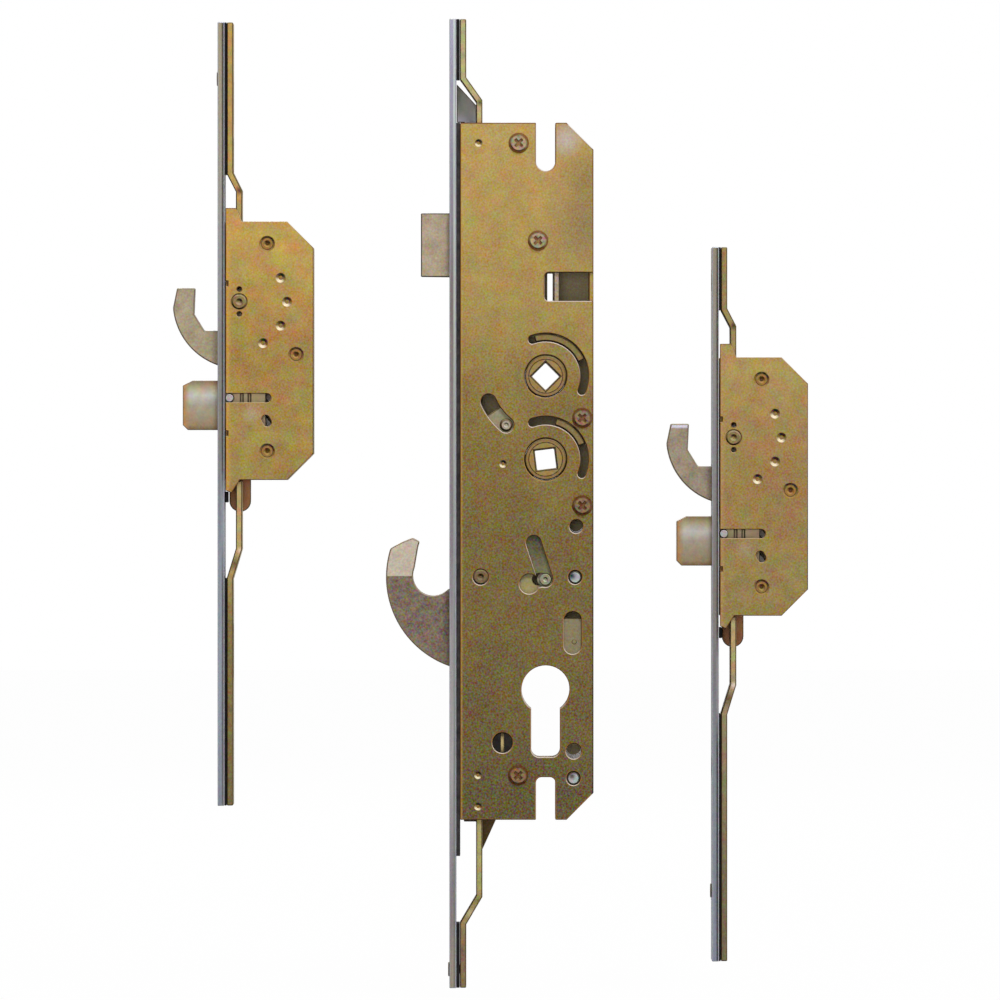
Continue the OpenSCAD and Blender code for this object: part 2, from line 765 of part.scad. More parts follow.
module centre_tray() {
    difference() {
        union() {
            solid(inner_y, case_y) polygon(centre_outline());
            solid(-inner_y, inner_y) intersection() {
                difference() {
                    polygon(centre_outline());
                    polygon(centre_outline(sheet_t));
                }
                rect2d([centre_wall_x, 2 * centre_case_bottom], [2 * centre_case_x, 2 * centre_case_top]);
            }
            for (z = centre_tab_z) {
                solid(inner_y, case_y) rect2d([plate_t, z], [centre_case_x0 + past, z + centre_tab_h]);
            }
        }
        solid(-case_y, case_y + past) cylinder_hole_2d();
        solid(-case_y, case_y + past) notches_2d();
        solid(0, case_y + past) rect2d([slit_x[0], window_z[0]], [slit_x[1], window_z[1]]);
        for (p = [upper_spindle, lower_spindle]) pin(p, hub_r + fit, 0, case_y + past);
    }
}

module centre_cover() {
    window_edge = window_x + window_corner;
    difference() {
        solid(-case_y, -inner_y) difference() {
            polygon(centre_outline());
            cylinder_hole_2d();
            notches_2d();
            for (p = [upper_spindle, lower_spindle]) {
                translate(p) circle(hub_r + loose);
                translate(p) arc_slot2d(arc_r, arc_w, arc_to, arc_from);
            }
            translate(upper_spindle) arc_slot2d(slant_r, slant_w, slant_rest - upper_turn, slant_rest);
            rect2d([window_edge, window_z[0]], [centre_case_x + past, window_z[1]]);
            slot2d([window_edge, window_z[0] + window_corner], [window_edge, window_z[1] - window_corner],
                window_corner);
            slot2d(deadlock_rest, deadlock_end, cover_slant_half);
            slot2d(cover_lobe, deadlock_rest, cover_neck_r);
            translate(cover_lobe) circle(cover_lobe_r);
            for (hole = cover_holes) translate([hole[0], hole[1]]) circle(hole[2]);
            slot2d(sight_top, sight_bottom, sight_r);
            translate([screw_guide_x, cylinder_screw_z]) circle(screw_guide_r + rivet_hole_gap);
            for (p = centre_rivets) translate(p) circle(shoulder_rivet_r + rivet_hole_gap);
        }
        for (p = centre_pillars) pin(p, screw_r + fit, -case_y - past, 0);
        pin(centre_pivot, pivot_r + fit, -case_y - past, 0);
        for (p = cover_dimples) dimple(p, cover_dimple_r);
    }
}

module centre_screws() {
    head_y = -case_y - pan_head_h;
    top_r = pan_head_r * pan_top_share;
    for (p = centre_pillars) {
        difference() {
            union() {
                pin(p, screw_r, -case_y, inner_y - screw_end_gap);
                cone(p, top_r, pan_head_r, head_y, -case_y);
            }
            cross_recess(p, top_r * recess_share, head_y - past, head_y + recess_depth);
        }
    }
}

// Shoulder rivets held in the cover, clear of the hook behind them
module centre_shoulder_rivets() {
    for (p = centre_rivets) {
        pin(p, shoulder_rivet_r, -case_y + loose, -inner_y);
        pin(p, shoulder_rivet_r + collar, -inner_y, front_y1);
    }
}

// Stud with a cross hole that guides the cylinder's fixing screw
module screw_guide() {
    cut = screw_guide_r + past;
    slot_half = 0.6;
    slot_depth = 1.6;
    color(zinc_dark) difference() {
        pin([screw_guide_x, cylinder_screw_z], screw_guide_r, -case_y + loose, inner_y);
        pin_x(cylinder_screw_z, cylinder_screw_d / 2, screw_guide_x - cut, screw_guide_x + cut);
        translate([screw_guide_x, 0, cylinder_screw_z])
            block([-slot_half, -case_y, -cut], [slot_half, -case_y + slot_depth, cut]);
    }
}

module centre_hook_2d() {
    throat = [-17.3, 0.5];
    claw = [
        [-2 * centre_hook_r, 8], [-34, 8], [-32.65, 10.6], [-28.9, 12.6], [-24.8, 14.3], [-22.2, 12.9],
        [-22.8, 10.6], [-24.5, 0.7], throat, [-14.7, -6], [-6, -1.5], [5, 0], [centre_pin[0] + 3, -5],
        [centre_pin[0] + 2, -12], [-4.8, -1.2 * centre_hook_r], [-2 * centre_hook_r, -2 * centre_hook_r]
    ];
    boss_r = 6.5;
    pin_boss = 2.4;
    throat_r = 7.3;
    difference() {
        intersection() {
            circle(centre_hook_r);
            polygon(claw);
        }
        translate(throat) circle(throat_r);
    }
    circle(boss_r);
    translate(centre_pin) circle(drive_pin_r + pin_boss);
}

module centre_hook() {
    color(hook_steel) translate([centre_pivot_x, 0, centre_pivot_z]) difference() {
        solid(-hook_half, hook_half) centre_hook_2d();
        pin([0, 0], pivot_r + fit, -hook_half - past, hook_half + past);
        pin(centre_pin, drive_pin_r + fit, -hook_half - past, hook_half + past);
    }
}

drive_head_rise = [0.6, 4.4, 14.6];
drive_toe_drop = 1.1;
drive_web = [8, 6];
wedge_w = 5.1;
wedge_shoulder = 6;
wedge_tail = 11.2;

// Slider plate that the lower follower lifts, with the slot that turns the gearbox hook
module drive_slider() {
    pin_z = centre_pivot_z + centre_pin[1];
    rest_slot = centre_pivot_x + centre_pin[0] - drive_pin_r - slot_clearance;
    mid_slot = centre_pivot_x + centre_pin_r + drive_pin_r + slot_clearance;
    nose_z = lower_spindle_z - travel / 2;
    notch_x = backset - follower_arm_r - nose_r - loose;
    fork_overlap = 1.5;
    fork_x = backset - follower_arm_r * cos(follower_swing) + fork_overlap;
    fork_h = nose_slot_h + slot_rim;
    lug_h = centre_slot_h + slot_rim;
    lug_x = mid_slot + slot_rim;
    front_x = 5.2;
    strip_x = centre_rail_xi + rail_t;
    head_x = plate_t + clearance;
    toe_z = centre_case_bottom - drive_toe_drop;
    head_z = [for (rise = drive_head_rise) centre_case_top + rise];
    web_step = 0.5;
    web_x = rest_slot + web_step;
    web_z = [centre_pivot_z - travel - drive_web[0], centre_pivot_z + drive_web[1]];
    wedge_x = strip_x + wedge_w;
    wedge_z = [centre_rail_end_bottom + wedge_shoulder, centre_rail_end_bottom, centre_case_bottom,
        centre_case_bottom - wedge_tail];
    color(zinc_dark) solid(slider_y0, slider_y1) difference() {
        polygon([
            [head_x, head_z[2]], [head_x, head_z[0]], [front_x, head_z[0]], [front_x, toe_z],
            [centre_rail_xi, toe_z], [centre_rail_xi, wedge_z[3]], [strip_x, wedge_z[3]],
            [wedge_x, wedge_z[2]], [wedge_x, wedge_z[1]],
            [strip_x, wedge_z[0]], [strip_x, web_z[0]], [web_x, web_z[0]], [web_x, pin_z - lug_h],
            [lug_x, pin_z - lug_h], [lug_x, pin_z + lug_h], [web_x, pin_z + lug_h],
            [web_x, web_z[1]], [strip_x, web_z[1]], [strip_x, nose_z - fork_h], [fork_x, nose_z - fork_h],
            [fork_x, nose_z - nose_slot_h], [notch_x, nose_z - nose_slot_h], [notch_x, nose_z + nose_slot_h],
            [fork_x, nose_z + nose_slot_h], [fork_x, nose_z + fork_h], [strip_x, nose_z + fork_h],
            [strip_x, head_z[1]]
        ]);
        slot2d(centre_pivot, centre_pivot - [0, travel], pivot_slot_r);
        rect2d([rest_slot, pin_z - centre_slot_h], [mid_slot, pin_z + centre_slot_h]);
    }
}

// Hub with a square hole, and a lug that runs in the cover's arc slot
module follower_hub(square_turn, lug) {
    rib_r = arc_w / 2 - loose;
    difference() {
        union() {
            pin([0, 0], hub_r, -case_y + clearance, case_y - clearance);
            solid(front_y0, front_y1) sector2d(0, arc_r + rib_r, lug[0], lug[1]);
            solid(-case_y + lug_drop, front_y1) sector2d(arc_r - rib_r, arc_r + rib_r, lug[0], lug[1]);
            children();
        }
        solid(-case_t, case_t) rotate(square_turn) square(spindle_w, center = true);
    }
}

module lower_follower() {
    arm = 180 + follower_swing;
    tip = follower_arm_r * [cos(arm), sin(arm)];
    side = [-sin(arm), cos(arm)];
    tip_half = 1.4;
    root_half = 5.5;
    color(zinc) translate([backset, 0, lower_spindle_z]) follower_hub(lower_square_turn, lower_lug) {
        solid(slider_y0, slider_y1) union() {
            translate(tip) circle(nose_r);
            polygon([tip + tip_half * side, root_half * side, -root_half * side, tip - tip_half * side]);
        }
    }
}

latch_arm_r = 24.5;
latch_arm_half = 1.8;
latch_leg_x = 37.9;
slant_rim = 3.2;
slant_spread = [17, 12];

module upper_follower() {
    slant_pin = slant_r * [cos(slant_rest), sin(slant_rest)];
    color(zinc) translate([backset, 0, upper_spindle_z]) follower_hub(upper_square_turn, upper_lug) {
        solid(front_y0, front_y1) union() {
            sector2d(0, slant_r + slant_rim, slant_rest - slant_spread[0], slant_rest + slant_spread[1]);
            rect2d([-latch_arm_half, 0], [latch_arm_half, latch_arm_r]);
        }
        difference() {
            pin(slant_pin, slant_pin_r, -case_y + loose, front_y1);
            pin_hollow(slant_pin, slant_pin_r);
        }
    }
}

// Latch with a bevelled head, a slotted tail round a case pillar, and a leg that the upper follower pushes
latch_back_x = 10;
spring_z = 85.2;
spring_stop_x = 26;

module latch() {
    tail_half_t = 2;
    tail_half_h = 5;
    leg_w = 2.2;
    leg_z = 64;
    slot_half = pillar_r + loose;
    land = 1.8;
    color(hook_steel) union() {
        translate([0, 0, latch_z - latch_half]) linear_extrude(latch_h) polygon([
            [-latch_throw, -latch_t / 2], [latch_back_x, -latch_t / 2], [latch_back_x, latch_t / 2],
            [0, latch_t / 2], [-latch_throw, -latch_t / 2 + land]
        ]);
        solid(-tail_half_t, tail_half_t) difference() {
            rect2d([latch_back_x, latch_pillar[1] - tail_half_h],
                [latch_leg_x + leg_w, latch_pillar[1] + tail_half_h]);
            slot2d(latch_pillar - [latch_throw, 0], latch_pillar, slot_half);
        }
        solid(front_y0, tail_half_t) rect2d([latch_leg_x, leg_z],
            [latch_leg_x + leg_w, latch_pillar[1] + tail_half_h]);
    }
}

// Coil spring along X between the latch head and its stop, as one swept tube
module latch_spring() {
    sides = 6;
    per_turn = 8;
    rings = spring_turns * per_turn;
    end_gap = spring_wire_r + clearance;
    length = spring_stop_x - latch_back_x - 2 * end_gap;
    start = latch_back_x + end_gap;
    pitch = length / spring_turns;
    echo(spring_gap = pitch - 2 * spring_wire_r);
    points = [
        for (i = [0:rings]) let (a = 360 * i / per_turn)
            for (k = [0:sides - 1]) let (b = 360 * k / sides, r = spring_r + spring_wire_r * cos(b))
                [start + length * i / rings + spring_wire_r * sin(b), r * cos(a), spring_z + r * sin(a)]
    ];
    walls = [
        for (i = [0:rings - 1]) for (k = [0:sides - 1])
            let (a = i * sides + k, b = i * sides + (k + 1) % sides, c = a + sides, d = b + sides)
                each [[a, b, d], [a, d, c]]
    ];
    last = rings * sides;
    first_cap = [for (k = [1:sides - 2]) [0, k + 1, k]];
    last_cap = [for (k = [1:sides - 2]) [last, last + k, last + k + 1]];
    color(steel) polyhedron(points, concat(walls, first_cap, last_cap));
}

module latch_spring_stop() {
    half = spring_r + spring_wire_r + loose;
    back_x = spring_stop_x + sheet_t;
    color(zinc_dark) block([spring_stop_x, -inner_y, spring_z - half], [back_x, inner_y, spring_z + half]);
}

// Slide lifted by the key cylinder's cam, with a cross slot that carries the deadlock pin
lock_left = 10.5;
lock_prong = 4;
lock_tongue = 6;
lock_bar_h = 5;
lock_over = 0.6;
lock_pip = [45.4, -51.6];
lock_pip_r = 0.8;

module lock_slide() {
    foot_gap = 0.5;
    foot_z = cylinder_z + cylinder_r + foot_gap;
    left_x = backset - lock_left;
    right_x = centre_case_x - sheet_t - loose;
    prong_z = deadlock_end[1] + cover_slant_half + lock_over;
    slot_half = deadlock_pin_r + slot_clearance;
    color(steel) union() {
        solid(front_y0, front_y1) difference() {
            union() {
                rect2d([left_x, foot_z], [right_x, foot_z + lock_bar_h]);
                rect2d([backset + lock_tongue, foot_z], [right_x, sight_top[1] + lock_over]);
                rect2d([left_x, foot_z], [backset + lock_prong, prong_z]);
            }
            slot2d(deadlock_rest + [deadlock_run[0], 0], deadlock_rest, slot_half);
        }
        pin(lock_pip, lock_pip_r, front_y0 - clearance / 2, front_y1);
    }
}

module deadlock_pin() {
    foot_y = -hook_half - loose;
    flange = 1;
    color(steel) difference() {
        union() {
            pin(deadlock_rest, deadlock_pin_r, -case_y + loose, foot_y);
            pin(deadlock_rest, deadlock_pin_r + flange, front_y1 + clearance, foot_y);
        }
        pin_hollow(deadlock_rest, deadlock_pin_r);
    }
}

// Nodes of the gearbox

module centre_case_tray() {
    color(zinc) centre_tray();
}

module centre_case_cover() {
    color(zinc) centre_cover();
}

module centre_case_screws() {
    color(zinc) centre_screws();
}

module centre_case_pillars() {
    color(steel) for (p = centre_pillars) pillar(p);
}

module centre_case_rivets() {
    color(steel) centre_shoulder_rivets();
}

module centre_hook_pivot() {
    color(zinc) hook_pivot(centre_pivot, pivot_end_r);
}

module centre_hook_pin() {
    color(steel) pin(centre_pivot + centre_pin, drive_pin_r, -hook_half, slider_y1);
}

module centre_rail_top() {
    color(zinc) top_rail(centre_rail_xo, centre_rail_xi, centre_joggle_top, centre_plate_top,
        centre_rail_end_top, [[centre_fixings[0], fix_slot_r]]);
}

module centre_rail_bottom() {
    color(zinc) bottom_rail(centre_rail_xo, centre_rail_xi, centre_joggle_bottom, centre_plate_bottom,
        centre_rail_end_bottom, [[centre_fixings[1], fix_slot_r], [centre_rivet_z, rivet_slot_r]]);
}

module centre_rail_rivet() {
    color(zinc) rail_rivet(centre_rivet_z, centre_rail_xo);
}

// Nodes of the hook units: the same pieces at two places

module at_upper() {
    translate([upper_x, 0, upper_z]) children();
}

module at_lower() {
    translate([lower_x, 0, lower_z]) children();
}

fix_slots_up = [side_fix_up, fix_slot_r];
fix_slots_down = [-side_fix_down, fix_slot_r];

module upper_faceplate() {
    color(steel) at_upper() side_plate(upper_top, upper_bottom, upper_rivet_z);
}

module upper_case_tray() {
    color(zinc) at_upper() side_tray();
}

module upper_case_cover() {
    color(zinc) at_upper() side_cover();
}

module upper_case_screws() {
    color(zinc) at_upper() side_screws();
}

module upper_case_pillars() {
    color(steel) at_upper() for (p = side_pillars) pillar(p);
}

module upper_hook() {
    color(hook_steel) at_upper() side_hook();
}

module upper_hook_pivot() {
    color(zinc) at_upper() hook_pivot(side_pivot, pivot_end_r);
}

module upper_hook_pin() {
    color(steel) at_upper() side_hook_pin();
}

module upper_bolt() {
    color(steel) at_upper() side_bolt();
}

module upper_bolt_pins() {
    color(steel) at_upper() side_bolt_pins();
}

module upper_slider() {
    color(copper) at_upper() side_slider();
}

module upper_rail_top() {
    color(zinc) at_upper() side_rail_top(upper_top, [fix_slots_up, [upper_rivet_z, rivet_slot_r]]);
}

module upper_rail_bottom() {
    color(zinc) at_upper() side_rail_bottom(upper_bottom, [fix_slots_down]);
}

module upper_rail_rivet() {
    color(zinc) at_upper() rail_rivet(upper_rivet_z, side_rail_xo);
}

module upper_guide_block() {
    color("black") at_upper() side_guide_block();
}

module lower_faceplate() {
    color(steel) at_lower() side_plate(lower_top, lower_bottom, lower_rivet_z);
}

module lower_case_tray() {
    color(zinc) at_lower() side_tray();
}

module lower_case_cover() {
    color(zinc) at_lower() side_cover();
}

module lower_case_screws() {
    color(zinc) at_lower() side_screws();
}

module lower_case_pillars() {
    color(steel) at_lower() for (p = side_pillars) pillar(p);
}

module lower_hook() {
    color(hook_steel) at_lower() side_hook();
}

module lower_hook_pivot() {
    color(zinc) at_lower() hook_pivot(side_pivot, pivot_end_r);
}

module lower_hook_pin() {
    color(steel) at_lower() side_hook_pin();
}

module lower_bolt() {
    color(steel) at_lower() side_bolt();
}

module lower_bolt_pins() {
    color(steel) at_lower() side_bolt_pins();
}

module lower_slider() {
    color(copper) at_lower() side_slider();
}

module lower_rail_top() {
    color(zinc) at_lower() side_rail_top(lower_top, [fix_slots_up]);
}

module lower_rail_bottom() {
    color(zinc) at_lower() side_rail_bottom(lower_bottom, [fix_slots_down, [lower_rivet_z, rivet_slot_r]]);
}

module lower_rail_rivet() {
    color(zinc) at_lower() rail_rivet(lower_rivet_z, side_rail_xo);
}

module lower_guide_block() {
    color("black") at_lower() side_guide_block();
}

centre_faceplate();
centre_fore_end();
centre_case_tray();
centre_case_cover();
centre_case_screws();
centre_case_pillars();
centre_case_rivets();
screw_guide();
centre_hook();
centre_hook_pivot();
centre_hook_pin();
drive_slider();
centre_rail_top();
centre_rail_bottom();
centre_rail_rivet();
lower_follower();
upper_follower();
latch();
latch_spring();
latch_spring_stop();
lock_slide();
deadlock_pin();
upper_faceplate();
upper_case_tray();
upper_case_cover();
upper_case_screws();
upper_case_pillars();
upper_hook();
upper_hook_pivot();
upper_hook_pin();
upper_bolt();
upper_bolt_pins();
upper_slider();
upper_rail_top();
upper_rail_bottom();
upper_rail_rivet();
upper_guide_block();
lower_faceplate();
lower_case_tray();
lower_case_cover();
lower_case_screws();
lower_case_pillars();
lower_hook();
lower_hook_pivot();
lower_hook_pin();
lower_bolt();
lower_bolt_pins();
lower_slider();
lower_rail_top();
lower_rail_bottom();
lower_rail_rivet();
lower_guide_block();
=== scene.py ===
"""Looks of a multipoint door lock: finishes and edges with painted light and shade, black bars in the rails'
shadow gaps, latch spring, light and camera.
"""
import json
import math
from collections import namedtuple

import bmesh
import bpy
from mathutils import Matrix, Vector

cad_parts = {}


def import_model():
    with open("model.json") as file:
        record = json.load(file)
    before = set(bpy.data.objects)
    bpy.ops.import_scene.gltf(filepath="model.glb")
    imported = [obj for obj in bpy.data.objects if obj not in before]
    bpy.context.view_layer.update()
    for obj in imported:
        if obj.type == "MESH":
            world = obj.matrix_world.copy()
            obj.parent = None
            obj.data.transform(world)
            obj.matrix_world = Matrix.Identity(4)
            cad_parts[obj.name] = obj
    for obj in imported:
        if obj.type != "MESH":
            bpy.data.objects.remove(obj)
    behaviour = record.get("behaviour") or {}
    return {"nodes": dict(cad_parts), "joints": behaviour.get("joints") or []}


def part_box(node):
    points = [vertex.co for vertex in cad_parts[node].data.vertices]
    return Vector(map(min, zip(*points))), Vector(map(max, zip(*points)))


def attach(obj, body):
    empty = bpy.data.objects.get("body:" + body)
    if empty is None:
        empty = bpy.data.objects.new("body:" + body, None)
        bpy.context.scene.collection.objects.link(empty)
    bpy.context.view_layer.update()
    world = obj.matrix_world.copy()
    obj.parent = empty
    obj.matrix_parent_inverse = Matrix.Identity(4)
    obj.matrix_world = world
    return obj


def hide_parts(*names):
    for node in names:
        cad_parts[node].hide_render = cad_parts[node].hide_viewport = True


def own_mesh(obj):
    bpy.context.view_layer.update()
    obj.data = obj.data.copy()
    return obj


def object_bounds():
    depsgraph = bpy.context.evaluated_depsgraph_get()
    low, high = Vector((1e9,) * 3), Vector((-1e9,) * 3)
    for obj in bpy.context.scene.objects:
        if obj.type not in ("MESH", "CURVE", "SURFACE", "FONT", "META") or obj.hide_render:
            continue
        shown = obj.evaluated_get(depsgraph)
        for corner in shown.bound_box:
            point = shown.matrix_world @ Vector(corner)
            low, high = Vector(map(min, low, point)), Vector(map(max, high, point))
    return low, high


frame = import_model()
CAD_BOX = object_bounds()
NODES = frame["nodes"]
MM = 0.001

# Front of all three case covers
COVER_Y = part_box("centre_case_cover")[0].y

# Soft round patch of colour on the front: middle and radius in mm, strength up to 1, and shade
Patch = namedtuple("Patch", "x z radius strength shade")

# Band along a strip: start behind the strip's front and half its fade in mm, and shades up the height
Band = namedtuple("Band", "start_mm fade_mm stops")

# Fine relief: size of the grain in mm, least and most roughness, depth in mm, and stretch along each axis
Relief = namedtuple("Relief", "size_mm roughness depth_mm stretch", defaults=[(1, 1, 1)])


def joint(name):
    """A joint's values, as the frame gives them."""
    return next(each for each in frame["joints"] if each["name"] == name)


def joint_axis(name):
    """Place of a turning joint's axis."""
    return Vector(joint(name)["pos_m"])


def placed(name, data):
    """New object in the scene."""
    piece = bpy.data.objects.new(name, data)
    bpy.context.scene.collection.objects.link(piece)
    return piece


# Node tree helpers. Places are in metres in the part's own space.

# Specular level of all materials
SPECULAR = 0.08

# Colour sockets of the Mix node, which share their names with its number sockets
MIX_FIRST = 6
MIX_SECOND = 7
MIX_RESULT = 2

# Painted light and shade by facing: the side painted bright, the facing that counts as full, and where the
# shades lie
PAINTED_LIGHT_SIDE = (0.3, 0.0, 0.95)
PAINTED_LIGHT_FULL = 0.7
PAINTED_SHADE_AT = 0.15
PAINTED_FLAT_AT = (0.45, 0.55)
PAINTED_HIGHLIGHT_AT = 0.85

# Where the two shades of a cloud lie on its noise
CLOUD_DARK = 0.3
CLOUD_LIGHT = 0.7

# Size of the grain, detail of the noises, and shifts that keep one noise from repeating another
GRAIN_MM = 0.7
GRAIN_DETAIL = 1.0
TINT_DETAIL = 2.0
FINE_DETAIL = 3.0
TINT_SHIFT = 3.3
RELIEF_SHIFT = 4.7
EDGE_SHIFT = 6.1
GRAIN_SHIFT = 9.1


def srgb(red, green, blue):
    """Linear colour of an 8-bit screen colour, by the sRGB standard's curve."""
    def linear(value):
        value /= 255
        return value / 12.92 if value <= 0.04045 else ((value + 0.055) / 1.055) ** 2.4
    return (linear(red), linear(green), linear(blue), 1.0)


def shades(*rows):
    """Stops of a ramp, from rows of a place from 0 to 1 and an 8-bit screen colour."""
    return [(place, srgb(*colour)) for place, *colour in rows]


def new_material(name, metallic):
    """New procedural material and its node tree."""
    material = bpy.data.materials.new(name)
    material.use_nodes = True
    tree = material.node_tree
    shader = tree.nodes["Principled BSDF"]
    shader.inputs["Metallic"].default_value = metallic
    shader.inputs["Specular IOR Level"].default_value = SPECULAR
    return material, tree


def feed(tree, socket, value):
    """Links an output to a socket, or sets the socket to a plain value."""
    if isinstance(value, bpy.types.NodeSocket):
        tree.links.new(value, socket)
    else:
        socket.default_value = value


def calc(tree, operation, first, second=0.0):
    """Result of an operation on one or two numbers or outputs."""
    node = tree.nodes.new("ShaderNodeMath")
    node.operation = operation
    feed(tree, node.inputs[0], first)
    feed(tree, node.inputs[1], second)
    return node.outputs["Value"]


def coordinate(tree, axis, source="Object"):
    """The part's own X, Y or Z, or that component of its normal."""
    place = tree.nodes.new("ShaderNodeTexCoord")
    split = tree.nodes.new("ShaderNodeSeparateXYZ")
    tree.links.new(place.outputs[source], split.inputs["Vector"])
    return split.outputs[axis]


def spread(tree, value, low, high, curve="LINEAR"):
    """0 where a value is low and 1 where it is high; low may be above high."""
    node = tree.nodes.new("ShaderNodeMapRange")
    node.interpolation_type = curve
    node.inputs["From Min"].default_value = low
    node.inputs["From Max"].default_value = high
    tree.links.new(value, node.inputs["Value"])
    return node.outputs["Result"]


def along(tree, axis, low, high):
    """0 at low and 1 at high along an axis; low may be above high."""
    return spread(tree, coordinate(tree, axis), low, high)


def between(tree, axis, start, end):
    """1 between two places along an axis and 0 outside them, each a pair of values that it fades between."""
    return calc(tree, "MULTIPLY", along(tree, axis, start[0], start[1]), along(tree, axis, end[1], end[0]))


def away(tree, x, z):
    """Distance from a place on the front."""
    place = tree.nodes.new("ShaderNodeTexCoord")
    flat = tree.nodes.new("ShaderNodeVectorMath")
    flat.operation = "MULTIPLY"
    flat.inputs[1].default_value = (1, 0, 1)
    distance = tree.nodes.new("ShaderNodeVectorMath")
    distance.operation = "DISTANCE"
    distance.inputs[1].default_value = (x, 0, z)
    tree.links.new(place.outputs["Object"], flat.inputs[0])
    tree.links.new(flat.outputs["Vector"], distance.inputs[0])
    return distance.outputs["Value"]


def spot(tree, x, z, radius):
    """1 at a place on the front, fading to 0 at a radius round it."""
    return spread(tree, away(tree, x, z), radius, 0.0, "SMOOTHSTEP")


def disc(tree, x, z, radius):
    """1 within a radius of a place on the front, and 0 elsewhere."""
    return calc(tree, "LESS_THAN", away(tree, x, z), radius)


def ring(tree, x, z, inner, outer):
    """1 between two radii round a place on the front, and 0 elsewhere."""
    beyond = calc(tree, "GREATER_THAN", away(tree, x, z), inner)
    return calc(tree, "MULTIPLY", beyond, disc(tree, x, z, outer))


def square(tree, x, z, turn, half):
    """1 inside a square that is turned round a place on the front, and 0 elsewhere."""
    right = calc(tree, "SUBTRACT", coordinate(tree, "X"), x)
    up = calc(tree, "SUBTRACT", coordinate(tree, "Z"), z)
    cos, sin = math.cos(turn), math.sin(turn)
    reaches = []
    for right_share, up_share in ((cos, sin), (-sin, cos)):
        reach_right = calc(tree, "MULTIPLY", right, right_share)
        reach_up = calc(tree, "MULTIPLY", up, up_share)
        reaches.append(calc(tree, "ABSOLUTE", calc(tree, "ADD", reach_right, reach_up)))
    return calc(tree, "LESS_THAN", calc(tree, "MAXIMUM", *reaches), half)


def noise(tree, size_mm, detail=TINT_DETAIL, stretch=(1, 1, 1), shift=0.0):
    """Noise with features of about size_mm times stretch."""
    place = tree.nodes.new("ShaderNodeTexCoord")
    mapping = tree.nodes.new("ShaderNodeMapping")
    mapping.inputs["Scale"].default_value = [1 / (size_mm * MM * factor) for factor in stretch]
    mapping.inputs["Location"].default_value = (shift, shift, shift)
    texture = tree.nodes.new("ShaderNodeTexNoise")
    texture.inputs["Scale"].default_value = 1.0
    texture.inputs["Detail"].default_value = detail
    tree.links.new(place.outputs["Object"], mapping.inputs["Vector"])
    tree.links.new(mapping.outputs["Vector"], texture.inputs["Vector"])
    return texture


def ramp(tree, factor, stops):
    """Colours at places from 0 to 1."""
    node = tree.nodes.new("ShaderNodeValToRGB")
    elements = node.color_ramp.elements
    while len(elements) < len(stops):
        elements.new(0.5)
    for element, (place, colour) in zip(elements, stops):
        element.position = place
        element.color = colour
    tree.links.new(factor, node.inputs["Fac"])
    return node.outputs["Color"]


def mix(tree, mode, factor, first, second):
    """Colour mix of two colours or outputs."""
    node = tree.nodes.new("ShaderNodeMix")
    node.data_type = "RGBA"
    node.blend_type = mode
    feed(tree, node.inputs["Factor"], factor)
    feed(tree, node.inputs[MIX_FIRST], first)
    feed(tree, node.inputs[MIX_SECOND], second)
    return node.outputs[MIX_RESULT]


def blend(tree, share, colour, shade):
    """Colour that turns into a shade as a share goes from 0 to 1."""
    return mix(tree, "MIX", share, colour, shade)


def lit(tree, under, face, top):
    """Painted light and shade by facing: one shade where a surface faces down, one on the flat and one where
    it faces up.
    """
    surface = tree.nodes.new("ShaderNodeTexCoord")
    facing = tree.nodes.new("ShaderNodeVectorMath")
    facing.operation = "DOT_PRODUCT"
    facing.inputs[1].default_value = PAINTED_LIGHT_SIDE
    tree.links.new(surface.outputs["Normal"], facing.inputs[0])
    upward = spread(tree, facing.outputs["Value"], -PAINTED_LIGHT_FULL, PAINTED_LIGHT_FULL)
    face_stops = [(place, face) for place in PAINTED_FLAT_AT]
    return ramp(tree, upward, [(PAINTED_SHADE_AT, under), *face_stops, (PAINTED_HIGHLIGHT_AT, top)])


def clouded(tree, dark, light, size_mm, detail=FINE_DETAIL):
    """Colour in clouds of two shades."""
    cloud = noise(tree, size_mm, detail).outputs["Fac"]
    return ramp(tree, cloud, [(CLOUD_DARK, dark), (CLOUD_LIGHT, light)])


def tinted(tree, colour, size_mm, strength, shift=TINT_SHIFT):
    """Colour that drifts through many tints."""
    return mix(tree, "OVERLAY", strength, colour, noise(tree, size_mm, shift=shift).outputs["Color"])


def grained(tree, colour, strength):
    """Colour with a fine many-coloured grain."""
    grain = noise(tree, GRAIN_MM, GRAIN_DETAIL, shift=GRAIN_SHIFT)
    return mix(tree, "LINEAR_LIGHT", strength, colour, grain.outputs["Color"])


def patched(tree, colour, patches, share=None):
    """Colour with soft round patches, which a share thins out where given."""
    for patch in patches:
        fade = spot(tree, patch.x * MM, patch.z * MM, patch.radius * MM)
        fade = calc(tree, "MULTIPLY", fade, patch.strength)
        if share is not None:
            fade = calc(tree, "MULTIPLY", fade, share)
        colour = blend(tree, fade, colour, patch.shade)
    return colour


def emboss(tree, shader, relief):
    """Gives a shader uneven gloss and a fine relief from one noise."""
    texture = noise(tree, relief.size_mm, FINE_DETAIL, relief.stretch, RELIEF_SHIFT)
    gloss = tree.nodes.new("ShaderNodeMapRange")
    gloss.inputs["To Min"].default_value, gloss.inputs["To Max"].default_value = relief.roughness
    bump = tree.nodes.new("ShaderNodeBump")
    bump.inputs["Distance"].default_value = relief.depth_mm * MM
    tree.links.new(texture.outputs["Fac"], gloss.inputs["Value"])
    tree.links.new(gloss.outputs["Result"], shader.inputs["Roughness"])
    tree.links.new(texture.outputs["Fac"], bump.inputs["Height"])
    tree.links.new(bump.outputs["Normal"], shader.inputs["Normal"])


def coated(material, colour, grain, relief):
    """The material, given its colour with a grain, and its relief."""
    tree = material.node_tree
    shader = tree.nodes["Principled BSDF"]
    tree.links.new(grained(tree, colour, grain), shader.inputs["Base Color"])
    emboss(tree, shader, relief)
    return material


